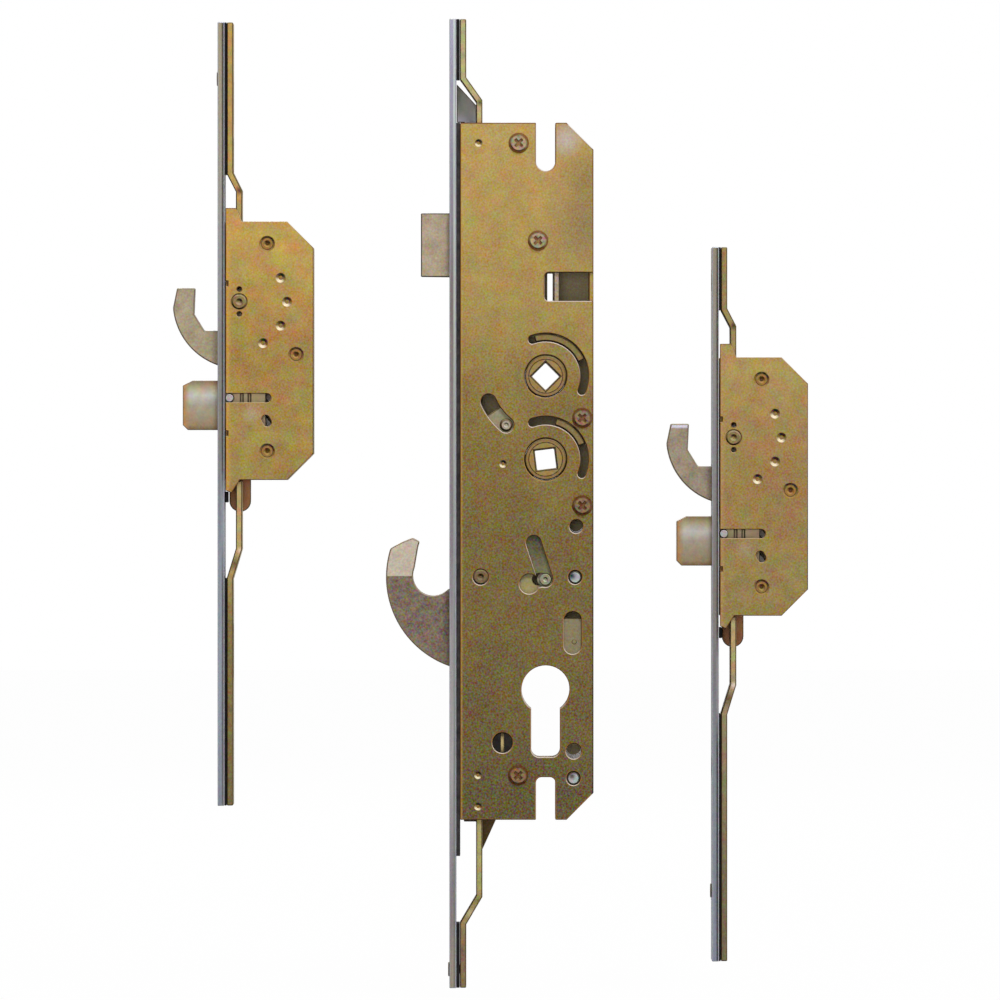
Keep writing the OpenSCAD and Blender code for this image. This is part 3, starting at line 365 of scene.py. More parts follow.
# Metallic share of zinc and of steel, and reliefs of the finishes. Rolled steel has streaks up its length.
ZINC_SHEEN = 0.12
STEEL_SHEEN = 0.1
ROLLED = (1, 1, 40)
CASE_RELIEF = Relief(0.5, (0.36, 0.52), 0.014)
ZINC_RELIEF = Relief(0.5, (0.34, 0.5), 0.014)
STRIP_RELIEF = Relief(0.4, (0.32, 0.46), 0.006, ROLLED)
HOOK_RELIEF = Relief(0.45, (0.36, 0.52), 0.015)
CENTRE_HOOK_RELIEF = Relief(0.45, (0.38, 0.55), 0.02)
BOLT_RELIEF = Relief(0.45, (0.32, 0.48), 0.015)
HEAD_RELIEF = Relief(0.4, (0.3, 0.48), 0.012)
BLACK_RELIEF = Relief(0.3, (0.4, 0.6), 0.01)
CASE_EDGE_RELIEF = Relief(0.4, (0.34, 0.5), 0.01)
EDGE_RELIEF = Relief(0.4, (0.3, 0.45), 0.01)

# Cases: colour of the inner floor, and painted shade, flat colour and painted highlight of sinks where they
# face down, lie flat and face up, strong and softer
INSIDE = srgb(156, 142, 110)
SINK_PAINTED_LIGHT = (srgb(40, 28, 14), srgb(138, 110, 64), srgb(246, 232, 198))
SOFT_PAINTED_LIGHT = (srgb(74, 54, 28), srgb(144, 112, 62), srgb(176, 142, 86))

# Depths at which the walls of sinks begin and end, and over which patches on the front fade out
SINK_START = (COVER_Y + 0.05 * MM, COVER_Y + 0.2 * MM)
SINK_END = (COVER_Y + 1.3 * MM, COVER_Y + 1.45 * MM)
PATCH_START = COVER_Y + 2 * MM
PATCH_END = COVER_Y + 3 * MM

# Size, mean and strength of the noise that keeps a case's shades from lying in straight bands
SWAY_MM = 28.0
SWAY_MEAN = 0.5
SWAY = 0.3

# Painted highlights: pale crescents on the inner floor behind two holes of the gearbox case: middles and rise
# above them in mm, and radii
PAINTED_CRESCENTS = ((46.1, -9.6), (45.2, -91.3))
CRESCENT_RISE = 1.0
CRESCENT_INNER = 2.7 * MM
CRESCENT_OUTER = 4.2 * MM
CRESCENT_HIGHLIGHT = srgb(255, 252, 255)

# Screws of a side case, in mm from its hook's pivot, and how far round screws and hubs the painted light of
# sinks and edges is softer
CASE_SCREWS = ((10.2, 21.4), (21.1, -19.4), (10.2, -53.9))
SCREW_REACH = 4.2 * MM
HUB_REACH = 9.0 * MM

# Where the brown of a case's outline starts and is full, measured in from the top and from the rear side
OUTLINE_START = 0.8 * MM
OUTLINE_FULL = 0.5 * MM

# The inner floor's normal is below the first value in Y, and it lies behind a fade round the part's middle
FACING_COVER = -0.5
MIDDLE_FADE = 1 * MM


def inside(tree):
    """1 on the inner floor of a case tray, which faces the cover from behind the part's middle."""
    facing = calc(tree, "LESS_THAN", coordinate(tree, "Y", "Normal"), FACING_COVER)
    return calc(tree, "MULTIPLY", facing, along(tree, "Y", -MIDDLE_FADE, MIDDLE_FADE))


def soft_places(unit):
    """Soft places of a case and how far they reach: the hubs, or a side case's pivot and screws."""
    if unit == "centre":
        return [joint_axis(f"{which}_follower_turn") for which in ("upper", "lower")], HUB_REACH
    pivot = joint_axis(f"{unit}_hook_swing")
    return [pivot] + [pivot + Vector((x, 0, z)) * MM for x, z in CASE_SCREWS], SCREW_REACH


def softened(tree, unit, colour):
    """Painted light and shade of a case's sinks and edges, with less contrast at its soft places."""
    places, reach = soft_places(unit)
    soft = lit(tree, *SOFT_PAINTED_LIGHT)
    for place in places:
        colour = blend(tree, disc(tree, place.x, place.z, reach), colour, soft)
    return colour


def case_zinc(unit, stops, front_highlight_mm, front_highlight, patches, tint, grain, crescent_highlights=()):
    """Yellow passivated zinc of a case: shades up its height, a painted highlight along the front edge,
    patches, tints and grain.
    """
    low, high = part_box(f"{unit}_case_cover")
    material, tree = new_material(f"{unit}_case_zinc", ZINC_SHEEN)
    sway = calc(tree, "SUBTRACT", noise(tree, SWAY_MM).outputs["Fac"], SWAY_MEAN)
    sway = calc(tree, "MULTIPLY", sway, SWAY)
    # Shades up the height, lighter towards the top: partly the zinc's own tone, partly painted light from
    # above
    height = calc(tree, "ADD", along(tree, "Z", low.z, high.z), sway)
    colour = tinted(tree, ramp(tree, height, stops), size_mm=6.0, strength=tint)
    colour = patched(tree, colour, patches, along(tree, "Y", PATCH_END, PATCH_START))
    # Painted highlight along the front edge
    colour = blend(tree, along(tree, "X", low.x + front_highlight_mm * MM, low.x), colour, front_highlight)
    # Painted shade and highlight on the walls of dimples, holes and countersinks, by the way they face
    sink_painted_light = softened(tree, unit, lit(tree, *SINK_PAINTED_LIGHT))
    colour = blend(tree, between(tree, "Y", SINK_START, SINK_END), colour, sink_painted_light)
    floor_shade = INSIDE
    # Painted highlights: pale crescents on the inner floor behind the given holes
    for x, z in crescent_highlights:
        crescent_highlight = ring(tree, x * MM, (z + CRESCENT_RISE) * MM, CRESCENT_INNER, CRESCENT_OUTER)
        floor_shade = blend(tree, crescent_highlight, floor_shade, CRESCENT_HIGHLIGHT)
    colour = blend(tree, inside(tree), colour, floor_shade)
    return coated(material, colour, grain, CASE_RELIEF)


def case_edge(unit, top_highlight):
    """Edges of a case with painted light and shade: pale where they face up, dark where they face down, brown
    round the outline.
    """
    low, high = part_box(f"{unit}_case_cover")
    material, tree = new_material(f"{unit}_case_edge", STEEL_SHEEN)
    # Painted shade where the edges face down and painted highlight where they face up
    worn = lit(tree, under=srgb(54, 40, 24), face=srgb(150, 106, 56), top=top_highlight)
    colour = softened(tree, unit, worn)
    top = along(tree, "Z", high.z - OUTLINE_START, high.z - OUTLINE_FULL)
    side = along(tree, "X", high.x - OUTLINE_START, high.x - OUTLINE_FULL)
    outline = ramp(tree, along(tree, "Z", low.z, high.z), shades((0.35, 52, 40, 26), (0.75, 122, 82, 46)))
    colour = blend(tree, calc(tree, "MAXIMUM", top, side), colour, outline)
    return coated(material, colour, grain=0.05, relief=CASE_EDGE_RELIEF)


# The bright colour along each case's front edge is a painted highlight
UPPER_ZINC = case_zinc(
    "upper",
    stops=shades((0.0, 150, 124, 70), (0.2, 158, 135, 76), (0.5, 158, 126, 70), (0.9, 184, 151, 83)),
    front_highlight_mm=2.2,
    front_highlight=srgb(196, 148, 74),
    patches=[
        Patch(-77.5, 61.5, 6.0, 0.6, srgb(150, 146, 74)),
        Patch(-72.0, 31.5, 5.0, 0.5, srgb(180, 164, 142)),
    ],
    tint=0.45,
    grain=0.14,
)
LOWER_ZINC = case_zinc(
    "lower",
    stops=shades((0.0, 140, 117, 72), (0.2, 148, 126, 78), (0.5, 150, 120, 74), (0.9, 166, 139, 85)),
    front_highlight_mm=2.2,
    front_highlight=srgb(172, 136, 88),
    patches=[
        Patch(102.5, 13.0, 10.0, 0.6, srgb(140, 134, 74)),
        Patch(107.5, -18.0, 5.0, 0.4, srgb(170, 152, 130)),
    ],
    tint=0.4,
    grain=0.14,
)
CENTRE_ZINC = case_zinc(
    "centre",
    stops=shades(
        (0.0, 97, 86, 56), (0.1, 104, 90, 57), (0.26, 116, 99, 60), (0.43, 117, 100, 59),
        (0.57, 130, 110, 64), (0.68, 150, 128, 74), (0.77, 162, 138, 80), (0.92, 176, 147, 87),
    ),
    front_highlight_mm=1.1,
    front_highlight=srgb(186, 146, 76),
    patches=[
        Patch(42.4, 131.0, 8.0, 0.8, srgb(186, 172, 166)),
        Patch(50.5, 100.0, 20.0, 0.8, srgb(136, 116, 80)),
        Patch(51.0, 117.0, 15.0, 0.7, srgb(132, 112, 76)),
    ],
    tint=0.3,
    grain=0.15,
    crescent_highlights=PAINTED_CRESCENTS,
)
# The last colour of each case edge is its painted highlight where it faces up
UPPER_EDGE = case_edge("upper", srgb(204, 180, 134))
LOWER_EDGE = case_edge("lower", srgb(196, 174, 134))
CENTRE_EDGE = case_edge("centre", srgb(214, 202, 190))

# Strips: their streaks
STREAK_MM = 0.8
STREAK_STRENGTH = 0.3
STREAK_SHADES = shades((0.3, 120, 120, 120), (0.7, 206, 206, 206))

# Starts and fades in mm of the strips' dark rear bands, a painted shadow of the gap beside rails and cases,
# and of the pale line on the gearbox's strip
SIDE_SHADOW_BAND = 1.6
CENTRE_SHADOW_BAND = 2.25
REAR_FADE = 0.35
CENTRE_LINE = 1.45
LINE_FADE = 0.2


def strip_steel(unit, front, *bands):
    """Plated strip seen edge-on: shades up its front, and bands behind them; its dark rear band is a painted
    shadow.
    """
    low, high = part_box(f"{unit}_faceplate")
    material, tree = new_material(f"{unit}_strip", STEEL_SHEEN)
    height = along(tree, "Z", low.z, high.z)
    colour = ramp(tree, height, front)
    for band in bands:
        start = low.x + band.start_mm * MM
        fade = band.fade_mm * MM
        share = along(tree, "X", start - fade, start + fade)
        colour = blend(tree, share, colour, ramp(tree, height, band.stops))
    streaks = ramp(tree, noise(tree, STREAK_MM, stretch=ROLLED).outputs["Fac"], STREAK_SHADES)
    colour = mix(tree, "OVERLAY", STREAK_STRENGTH, colour, streaks)
    return coated(material, colour, grain=0.05, relief=STRIP_RELIEF)


UPPER_STRIP = strip_steel(
    "upper",
    shades(
        (0.0, 132, 137, 150), (0.2, 148, 156, 166), (0.36, 134, 139, 148), (0.5, 128, 124, 116),
        (0.7, 146, 146, 148), (0.85, 162, 154, 136), (1.0, 160, 148, 122),
    ),
    # Painted shadow of the gap beside the rail and case, pale where the rail bends away
    Band(SIDE_SHADOW_BAND, REAR_FADE, shades(
        (0.0, 92, 90, 90), (0.28, 82, 78, 78), (0.34, 146, 150, 160), (0.39, 142, 146, 154),
        (0.43, 52, 48, 44), (1.0, 44, 36, 30),
    )),
)
LOWER_STRIP = strip_steel(
    "lower",
    shades(
        (0.0, 136, 140, 156), (0.25, 132, 137, 142), (0.38, 122, 122, 126), (0.5, 128, 122, 116),
        (0.75, 136, 134, 136), (1.0, 152, 142, 124),
    ),
    # Painted shadow of the gap beside the rail and case, pale where the rail bends away
    Band(SIDE_SHADOW_BAND, REAR_FADE, shades(
        (0.0, 58, 58, 58), (0.3, 50, 48, 50), (0.35, 140, 136, 140), (0.42, 138, 134, 138),
        (0.46, 62, 58, 50), (1.0, 56, 48, 38),
    )),
)
CENTRE_STRIP = strip_steel(
    "centre",
    shades(
        (0.0, 150, 138, 120), (0.1, 132, 124, 132), (0.25, 170, 166, 166), (0.45, 134, 127, 133),
        (0.7, 126, 115, 112), (0.85, 144, 140, 154), (1.0, 166, 162, 184),
    ),
    Band(CENTRE_LINE, LINE_FADE, shades(
        (0.0, 130, 124, 112), (0.12, 124, 126, 122), (0.45, 146, 152, 150), (0.7, 176, 182, 172),
        (1.0, 198, 206, 204),
    )),
    # Painted shadow of the gap between the strip and the case
    Band(CENTRE_SHADOW_BAND, REAR_FADE, shades(
        (0.0, 92, 82, 68), (0.08, 110, 116, 126), (0.16, 68, 68, 70), (1.0, 74, 80, 88),
    )),
)

# Rails, slides and rivets. Patches paint shade and highlights at the rails' bends, paint light on the side
# sliders and paint shade on two rivets.
PART_HEIGHT = (CAD_BOX[0].z, CAD_BOX[1].z)
DRIVE_HEIGHT = tuple(corner.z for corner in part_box("drive_slider"))
# Painted light on the side sliders, where the cases' holes and slots show them in shade
SLIDER_PAINTED_LIGHT = srgb(250, 246, 240)

# Lock slide, measured from the deadlock pin: heights of its end shades, the worn lobe, and the rear
LOCK_PALE = 4 * MM
LOCK_DARK = 18 * MM
LOBE_FORWARD = 3.2 * MM
LOBE_RISE = 0.6 * MM
LOBE_RADIUS = 5.5 * MM
LOCK_REAR = 8 * MM
LOCK_REAR_FADE = 1 * MM


def plain_zinc(name, tint, grain, shade=None, height=None, stops=None, patches=()):
    """Zinc of a small piece: one shade, or stops up a height, with patches, tints and grain."""
    material, tree = new_material(name, ZINC_SHEEN)
    colour = ramp(tree, along(tree, "Z", *height), stops) if stops else shade
    colour = patched(tree, tinted(tree, colour, size_mm=3.0, strength=tint), patches)
    return coated(material, colour, grain, ZINC_RELIEF)


def lock_zinc():
    """Key driven slide: grey-green zinc, worn to a pale gold where the deadlock pin's lobe is."""
    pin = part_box("deadlock_pin")[0]
    material, tree = new_material("lock_zinc", ZINC_SHEEN)
    height = along(tree, "Z", pin.z + LOCK_PALE, pin.z + LOCK_DARK)
    colour = ramp(tree, height, shades((0.0, 122, 114, 84), (1.0, 78, 74, 54)))
    colour = tinted(tree, colour, size_mm=3.0, strength=0.35)
    lobe = spot(tree, pin.x - LOBE_FORWARD, pin.z + LOBE_RISE, LOBE_RADIUS)
    colour = blend(tree, lobe, colour, srgb(156, 145, 98))
    rear = along(tree, "X", pin.x + LOCK_REAR, pin.x + LOCK_REAR + LOCK_REAR_FADE)
    colour = blend(tree, rear, colour, srgb(134, 124, 96))
    return coated(material, colour, grain=0.1, relief=ZINC_RELIEF)


UPPER_RAIL = plain_zinc(
    "upper_rail_zinc",
    tint=0.45,
    grain=0.09,
    height=PART_HEIGHT,
    stops=shades((0.2, 120, 105, 66), (0.38, 132, 114, 70), (0.45, 180, 156, 104), (0.9, 180, 148, 84)),
    # Painted shade at the top bend, and a painted highlight with painted shade below it at the bottom bend
    patches=[
        Patch(-76.2, 112.6, 2.4, 0.85, srgb(52, 34, 18)),
        Patch(-75.9, -18.4, 1.8, 0.7, srgb(232, 214, 184)),
        Patch(-78.2, -23.2, 4.0, 0.7, srgb(70, 52, 32)),
    ],
)
LOWER_RAIL = plain_zinc(
    "lower_rail_zinc",
    tint=0.45,
    grain=0.09,
    height=PART_HEIGHT,
    stops=shades((0.1, 116, 108, 80), (0.28, 150, 132, 98), (0.36, 176, 156, 112), (0.75, 146, 126, 80)),
    # Painted shade at the top bend, and a painted highlight with painted shade below it at the bottom bend
    patches=[
        Patch(103.6, 63.4, 2.4, 0.85, srgb(44, 30, 18)),
        Patch(103.5, -67.4, 1.8, 0.7, srgb(236, 218, 206)),
        Patch(101.4, -72.2, 4.0, 0.7, srgb(70, 54, 36)),
    ],
)
CENTRE_RAIL = plain_zinc(
    "centre_rail_zinc",
    tint=0.5,
    grain=0.11,
    height=PART_HEIGHT,
    stops=shades((0.04, 132, 110, 80), (0.12, 168, 156, 98), (0.85, 178, 160, 108), (1.0, 176, 172, 120)),
    # Painted shade at both bends, and a painted highlight on the lower slope
    patches=[
        Patch(11.2, 144.6, 2.2, 0.8, srgb(56, 38, 22)),
        Patch(11.0, -146.0, 2.2, 0.7, srgb(58, 44, 26)),
        Patch(7.6, -150.5, 3.0, 0.4, srgb(222, 204, 160)),
    ],
)
DRIVE_ZINC = plain_zinc(
    "drive_zinc",
    tint=0.15,
    grain=0.05,
    height=DRIVE_HEIGHT,
    stops=shades(
        (0.0, 92, 72, 42), (0.2, 104, 88, 58), (0.9, 128, 118, 92), (0.945, 190, 190, 206),
        (0.965, 172, 170, 162), (1.0, 156, 156, 148),
    ),
)
COPPER_ZINC = plain_zinc(
    "copper_zinc",
    tint=0.3,
    grain=0.06,
    shade=srgb(166, 114, 80),
    # Painted light on the sliders where holes and slots show them
    patches=[Patch(-66.5, 31.0, 14.0, 1.0, SLIDER_PAINTED_LIGHT), Patch(113.7, -18.4, 14.0, 1.0, SLIDER_PAINTED_LIGHT)],
)
RIVET = plain_zinc(
    "rivet_steel",
    tint=0.4,
    grain=0.12,
    shade=srgb(172, 172, 178),
    # Painted shade on parts of two rivet heads
    patches=[
        Patch(44.5, -27.6, 2.4, 1.0, srgb(40, 38, 36)),
        Patch(44.5, -100.4, 2.0, 1.0, srgb(72, 68, 66)),
    ],
)
LOCK_ZINC = lock_zinc()

# Hooks, latch and bolts: height and fade of the painted highlight on the lower hook's tip, and of the line
# below the centre hook's tip
LOWER_TIP_HIGHLIGHT = 1.8 * MM
LOWER_TIP_HIGHLIGHT_FADE = 0.6 * MM
CENTRE_TIP_RISE = 4.3 * MM
CENTRE_TIP_FADE = 0.1 * MM

# Where the orange of a bolt's nose starts and is full, from the nose, and fade of the bolt's rear, made pale
# as painted light
NOSE_START = 2.6 * MM
NOSE_FULL = 0.4 * MM
BOLT_REAR_FADE = 1 * MM


def warm_steel(name, dark, light, grain, highlight_z=None):
    """Bare steel in clouds of two shades with an open grain, with a painted highlight above a height where
    given.
    """
    material, tree = new_material(name, STEEL_SHEEN)
    colour = clouded(tree, dark, light, size_mm=5.0)
    if highlight_z is not None:
        # Painted highlight on the top of the tip
        tip = along(tree, "Z", highlight_z, highlight_z + LOWER_TIP_HIGHLIGHT_FADE)
        colour = blend(tree, tip, colour, srgb(208, 204, 218))
    return coated(material, colour, grain, HOOK_RELIEF)


def centre_hook_steel():
    """Dark sintered steel with a paler tip above a sharp line."""
    line_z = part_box("centre_hook_pivot")[0].z + CENTRE_TIP_RISE
    material, tree = new_material("centre_hook_steel", STEEL_SHEEN)
    dark = clouded(tree, srgb(112, 97, 84), srgb(134, 118, 102), size_mm=4.0)
    pale = clouded(tree, srgb(184, 170, 152), srgb(200, 188, 170), size_mm=4.0)
    tip = along(tree, "Z", line_z - CENTRE_TIP_FADE, line_z + CENTRE_TIP_FADE)
    colour = blend(tree, tip, dark, pale)
    return coated(material, colour, grain=0.17, relief=CENTRE_HOOK_RELIEF)


def bolt_steel(unit, dim):
    """Bare steel of a bolt, times a shade: a painted highlight above its middle and painted shade at top and
    bottom, an orange nose, and a rear made pale as painted light.
    """
    low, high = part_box(f"{unit}_bolt")
    rear_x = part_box(f"{unit}_faceplate")[1].x
    material, tree = new_material(f"{unit}_bolt_steel", STEEL_SHEEN)
    # Painted shading of the rounded top and bottom, with a painted highlight above the middle
    colour = ramp(tree, along(tree, "Z", low.z, high.z), shades(
        (0.0, 112, 92, 62), (0.1, 148, 132, 104), (0.5, 165, 156, 136),
        (0.7, 194, 191, 182), (0.88, 168, 153, 124), (1.0, 128, 106, 76),
    ))
    nose = along(tree, "X", low.x + NOSE_START, low.x + NOSE_FULL)
    colour = blend(tree, nose, colour, srgb(176, 130, 80))
    # Painted light on the rear, which the slot shows in shade
    rear = along(tree, "X", rear_x, rear_x + BOLT_REAR_FADE)
    colour = blend(tree, rear, colour, srgb(212, 192, 152))
    colour = mix(tree, "MULTIPLY", 1.0, colour, dim)
    colour = tinted(tree, colour, size_mm=2.5, strength=0.3)
    return coated(material, colour, grain=0.06, relief=BOLT_RELIEF)


UPPER_HOOK = warm_steel("upper_hook_steel", srgb(152, 138, 114), srgb(172, 158, 132), grain=0.15)
LOWER_HOOK = warm_steel(
    "lower_hook_steel", srgb(138, 125, 106), srgb(160, 146, 125), grain=0.14,
    highlight_z=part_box("lower_hook")[1].z - LOWER_TIP_HIGHLIGHT,
)
CENTRE_HOOK = centre_hook_steel()
LATCH = warm_steel("latch_steel", srgb(156, 140, 120), srgb(178, 162, 138), grain=0.16)
UPPER_BOLT = bolt_steel("upper", srgb(254, 253, 250))
LOWER_BOLT = bolt_steel("lower", srgb(242, 241, 242))

# Screws, pivots and pins: depth at which the painted shade in the pit of a sunk head starts, and its fade
PIT_DEPTH = COVER_Y + 1.0 * MM
PIT_FADE = 0.3 * MM

# Pan heads: depths over which the brown painted shade comes in, its strength, and how far below the top the
# heads are free of painted shade
BROWN_START = 0.2 * MM
BROWN_FULL = 0.9 * MM
BROWN_STRENGTH = 0.8
BRIGHT_HEADS = 40 * MM


def pan_screw_zinc():
    """Pan heads with painted light by facing, brown painted shade in the cross recess and round the foot, and
    painted shade towards the case's foot.
    """
    low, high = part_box("centre_case_screws")
    material, tree = new_material("pan_screw_zinc", STEEL_SHEEN)
    # Painted shade where the heads face down and painted highlight where they face up
    face = lit(tree, srgb(76, 60, 42), srgb(160, 142, 114), srgb(132, 110, 82))
    face = tinted(tree, face, size_mm=1.2, strength=0.9)
    depth = along(tree, "Y", low.y + BROWN_START, low.y + BROWN_FULL)
    colour = blend(tree, calc(tree, "MULTIPLY", depth, BROWN_STRENGTH), face, srgb(138, 90, 48))
    # Painted shade on the heads towards the case's foot
    shade_below = along(tree, "Z", high.z - BRIGHT_HEADS, (low.z + high.z) / 2)
    colour = mix(tree, "MULTIPLY", shade_below, colour, srgb(206, 190, 176))
    return coated(material, colour, grain=0.1, relief=HEAD_RELIEF)


def painted_light_steel(name, under, face, top, pit_painted_shade=None):
    """Steel of small heads and pins with painted light and shade: dark below, bright on top, and painted
    shade in the pit where its colour is given.
    """
    material, tree = new_material(name, STEEL_SHEEN)
    colour = tinted(tree, lit(tree, under, face, top), size_mm=1.2, strength=0.6)
    if pit_painted_shade:
        colour = blend(tree, along(tree, "Y", PIT_DEPTH, PIT_DEPTH + PIT_FADE), colour, pit_painted_shade)
    return coated(material, colour, grain=0.07, relief=HEAD_RELIEF)


PAN_SCREW = pan_screw_zinc()
# Heads, pivots and pins: their facing colours and pits are painted light and shade
SUNK_SCREW = painted_light_steel(
    "sunk_screw_zinc", srgb(80, 58, 28), srgb(148, 112, 58), srgb(190, 152, 90), pit_painted_shade=srgb(88, 64, 32),
)
SIDE_PIVOT = painted_light_steel(
    "side_pivot_steel", srgb(58, 48, 30), srgb(134, 114, 72), srgb(186, 170, 128), pit_painted_shade=srgb(62, 54, 40),
)
PIVOT = painted_light_steel("pivot_zinc", srgb(46, 36, 24), srgb(112, 94, 66), srgb(150, 132, 98))
PIN = painted_light_steel("pin_steel", srgb(48, 44, 36), srgb(140, 137, 116), srgb(208, 205, 186))
BRIGHT = painted_light_steel("bright_steel", srgb(52, 48, 46), srgb(168, 162, 158), srgb(244, 242, 242))

# Followers: rim of the hub and its painted shade line for a groove, half the painted shade border round its
# square, and the upper follower's pin
HUB_RIM = (6.2 * MM, 7.6 * MM)
HUB_GROOVE = (5.95 * MM, 6.3 * MM)
BORDER_HALF = 4.2 * MM
UPPER_PIN = (20.65 * MM, 27.28 * MM)
PIN_RADIUS = 2.3 * MM

# Depths over which the colours of a follower's parts fade: the hub's two end faces, the pin and the lugs
HUB_FACE = (0.1 * MM, 0.3 * MM)
PIN_BACK = (0.9 * MM, 1.0 * MM)
LUG_BACK = (1.3 * MM, 1.5 * MM)


def follower_zinc(unit, square_turn, pin=None):
    """Follower: gold hub ends with a ring, a painted shade line for a groove and a painted shade border round
    the square, gold lugs, grey arms, and a pin with painted light where given.
    """
    low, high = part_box(f"{unit}_follower")
    axis = joint_axis(f"{unit}_follower_turn")
    material, tree = new_material(f"{unit}_follower_zinc", ZINC_SHEEN)
    border = square(tree, axis.x, axis.z, math.radians(square_turn), BORDER_HALF)
    hub = tinted(tree, srgb(150, 126, 76), size_mm=4.0, strength=0.3)
    hub = blend(tree, ring(tree, axis.x, axis.z, *HUB_RIM), hub, srgb(140, 112, 72))
    # Painted shade: a dark line where a groove would be, and a dark border round the square
    hub = blend(tree, ring(tree, axis.x, axis.z, *HUB_GROOVE), hub, srgb(72, 58, 36))
    hub = blend(tree, border, hub, srgb(56, 44, 28))
    lug = tinted(tree, srgb(132, 112, 72), size_mm=3.0, strength=0.3)
    arm = tinted(tree, srgb(146, 136, 110), size_mm=3.0, strength=0.3)
    colour = blend(tree, along(tree, "Y", low.y + LUG_BACK[0], low.y + LUG_BACK[1]), lug, arm)
    hub_front = (low.y + HUB_FACE[0], low.y + HUB_FACE[1])
    hub_rear = (high.y - HUB_FACE[1], high.y - HUB_FACE[0])
    colour = blend(tree, between(tree, "Y", hub_front, hub_rear), hub, colour)
    if pin:
        in_front = along(tree, "Y", low.y + PIN_BACK[1], low.y + PIN_BACK[0])
        on_pin = calc(tree, "MULTIPLY", disc(tree, *pin, PIN_RADIUS), in_front)
        # Painted light on the pin by facing
        bright = lit(tree, srgb(92, 84, 72), srgb(162, 151, 132), srgb(214, 208, 196))
        colour = blend(tree, on_pin, colour, bright)
    return coated(material, colour, grain=0.09, relief=CASE_RELIEF)


UPPER_FOLLOWER = follower_zinc("upper", square_turn=45, pin=UPPER_PIN)
LOWER_FOLLOWER = follower_zinc("lower", square_turn=7)

# Black pieces. The slot of the screw guide is bright in its middle, from a depth on.
GUIDE_MIDDLE = sum(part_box("screw_guide"), Vector()) / 2
SLOT_DEPTH = COVER_Y + 1.2 * MM
SLOT_FADE = 0.3 * MM
SLOT_RADIUS = 5.0 * MM


def black(name, dark, light, slot=None):
    """Black of plastic pieces and of a sheet that stands in for shadow, with a matt relief, bright deep in a
    slot whose middle is given.
    """
    material, tree = new_material(name, metallic=0.0)
    colour = clouded(tree, dark, light, size_mm=2.0, detail=TINT_DETAIL)
    if slot is not None:
        deep = along(tree, "Y", SLOT_DEPTH, SLOT_DEPTH + SLOT_FADE)
        bright = calc(tree, "MULTIPLY", deep, spot(tree, slot.x, slot.z, SLOT_RADIUS))
        colour = blend(tree, bright, colour, srgb(216, 192, 134))
    return coated(material, colour, grain=0.01, relief=BLACK_RELIEF)


NYLON = black("black_nylon", srgb(20, 19, 20), srgb(38, 36, 36))
GUIDE = black("black_guide", srgb(22, 20, 18), srgb(40, 36, 32), slot=GUIDE_MIDDLE)
# Black of the centre fore end, a dark sheet that stands in for the shadow between the strip and the case
FORE_END_SHADOW_BLACK = black("fore_end_shadow_black", srgb(38, 36, 38), srgb(66, 62, 62))


# Edges of the other pieces, with painted light and shade
def painted_light_edge(name, under, face, top):
    """Edge with painted light and shade: dark where it faces down and bright where it faces up."""
    material, tree = new_material(name, STEEL_SHEEN)
    colour = tinted(tree, lit(tree, under, face, top), size_mm=2.5, strength=0.4, shift=EDGE_SHIFT)
    return coated(material, colour, grain=0.04, relief=EDGE_RELIEF)


# The brown and dark edges also paint shade along the outlines of rails, rivets, the latch and other pieces
BROWN_EDGE = painted_light_edge("brown_edge", srgb(44, 34, 22), srgb(80, 64, 40), srgb(150, 130, 92))
STEEL_EDGE = painted_light_edge("steel_edge", srgb(92, 80, 64), srgb(120, 106, 88), srgb(176, 164, 144))
DARK_EDGE = painted_light_edge("dark_edge", srgb(48, 40, 34), srgb(74, 64, 54), srgb(92, 82, 70))
STRIP_EDGE = painted_light_edge("strip_edge", srgb(112, 114, 122), srgb(164, 166, 174), srgb(206, 208, 214))

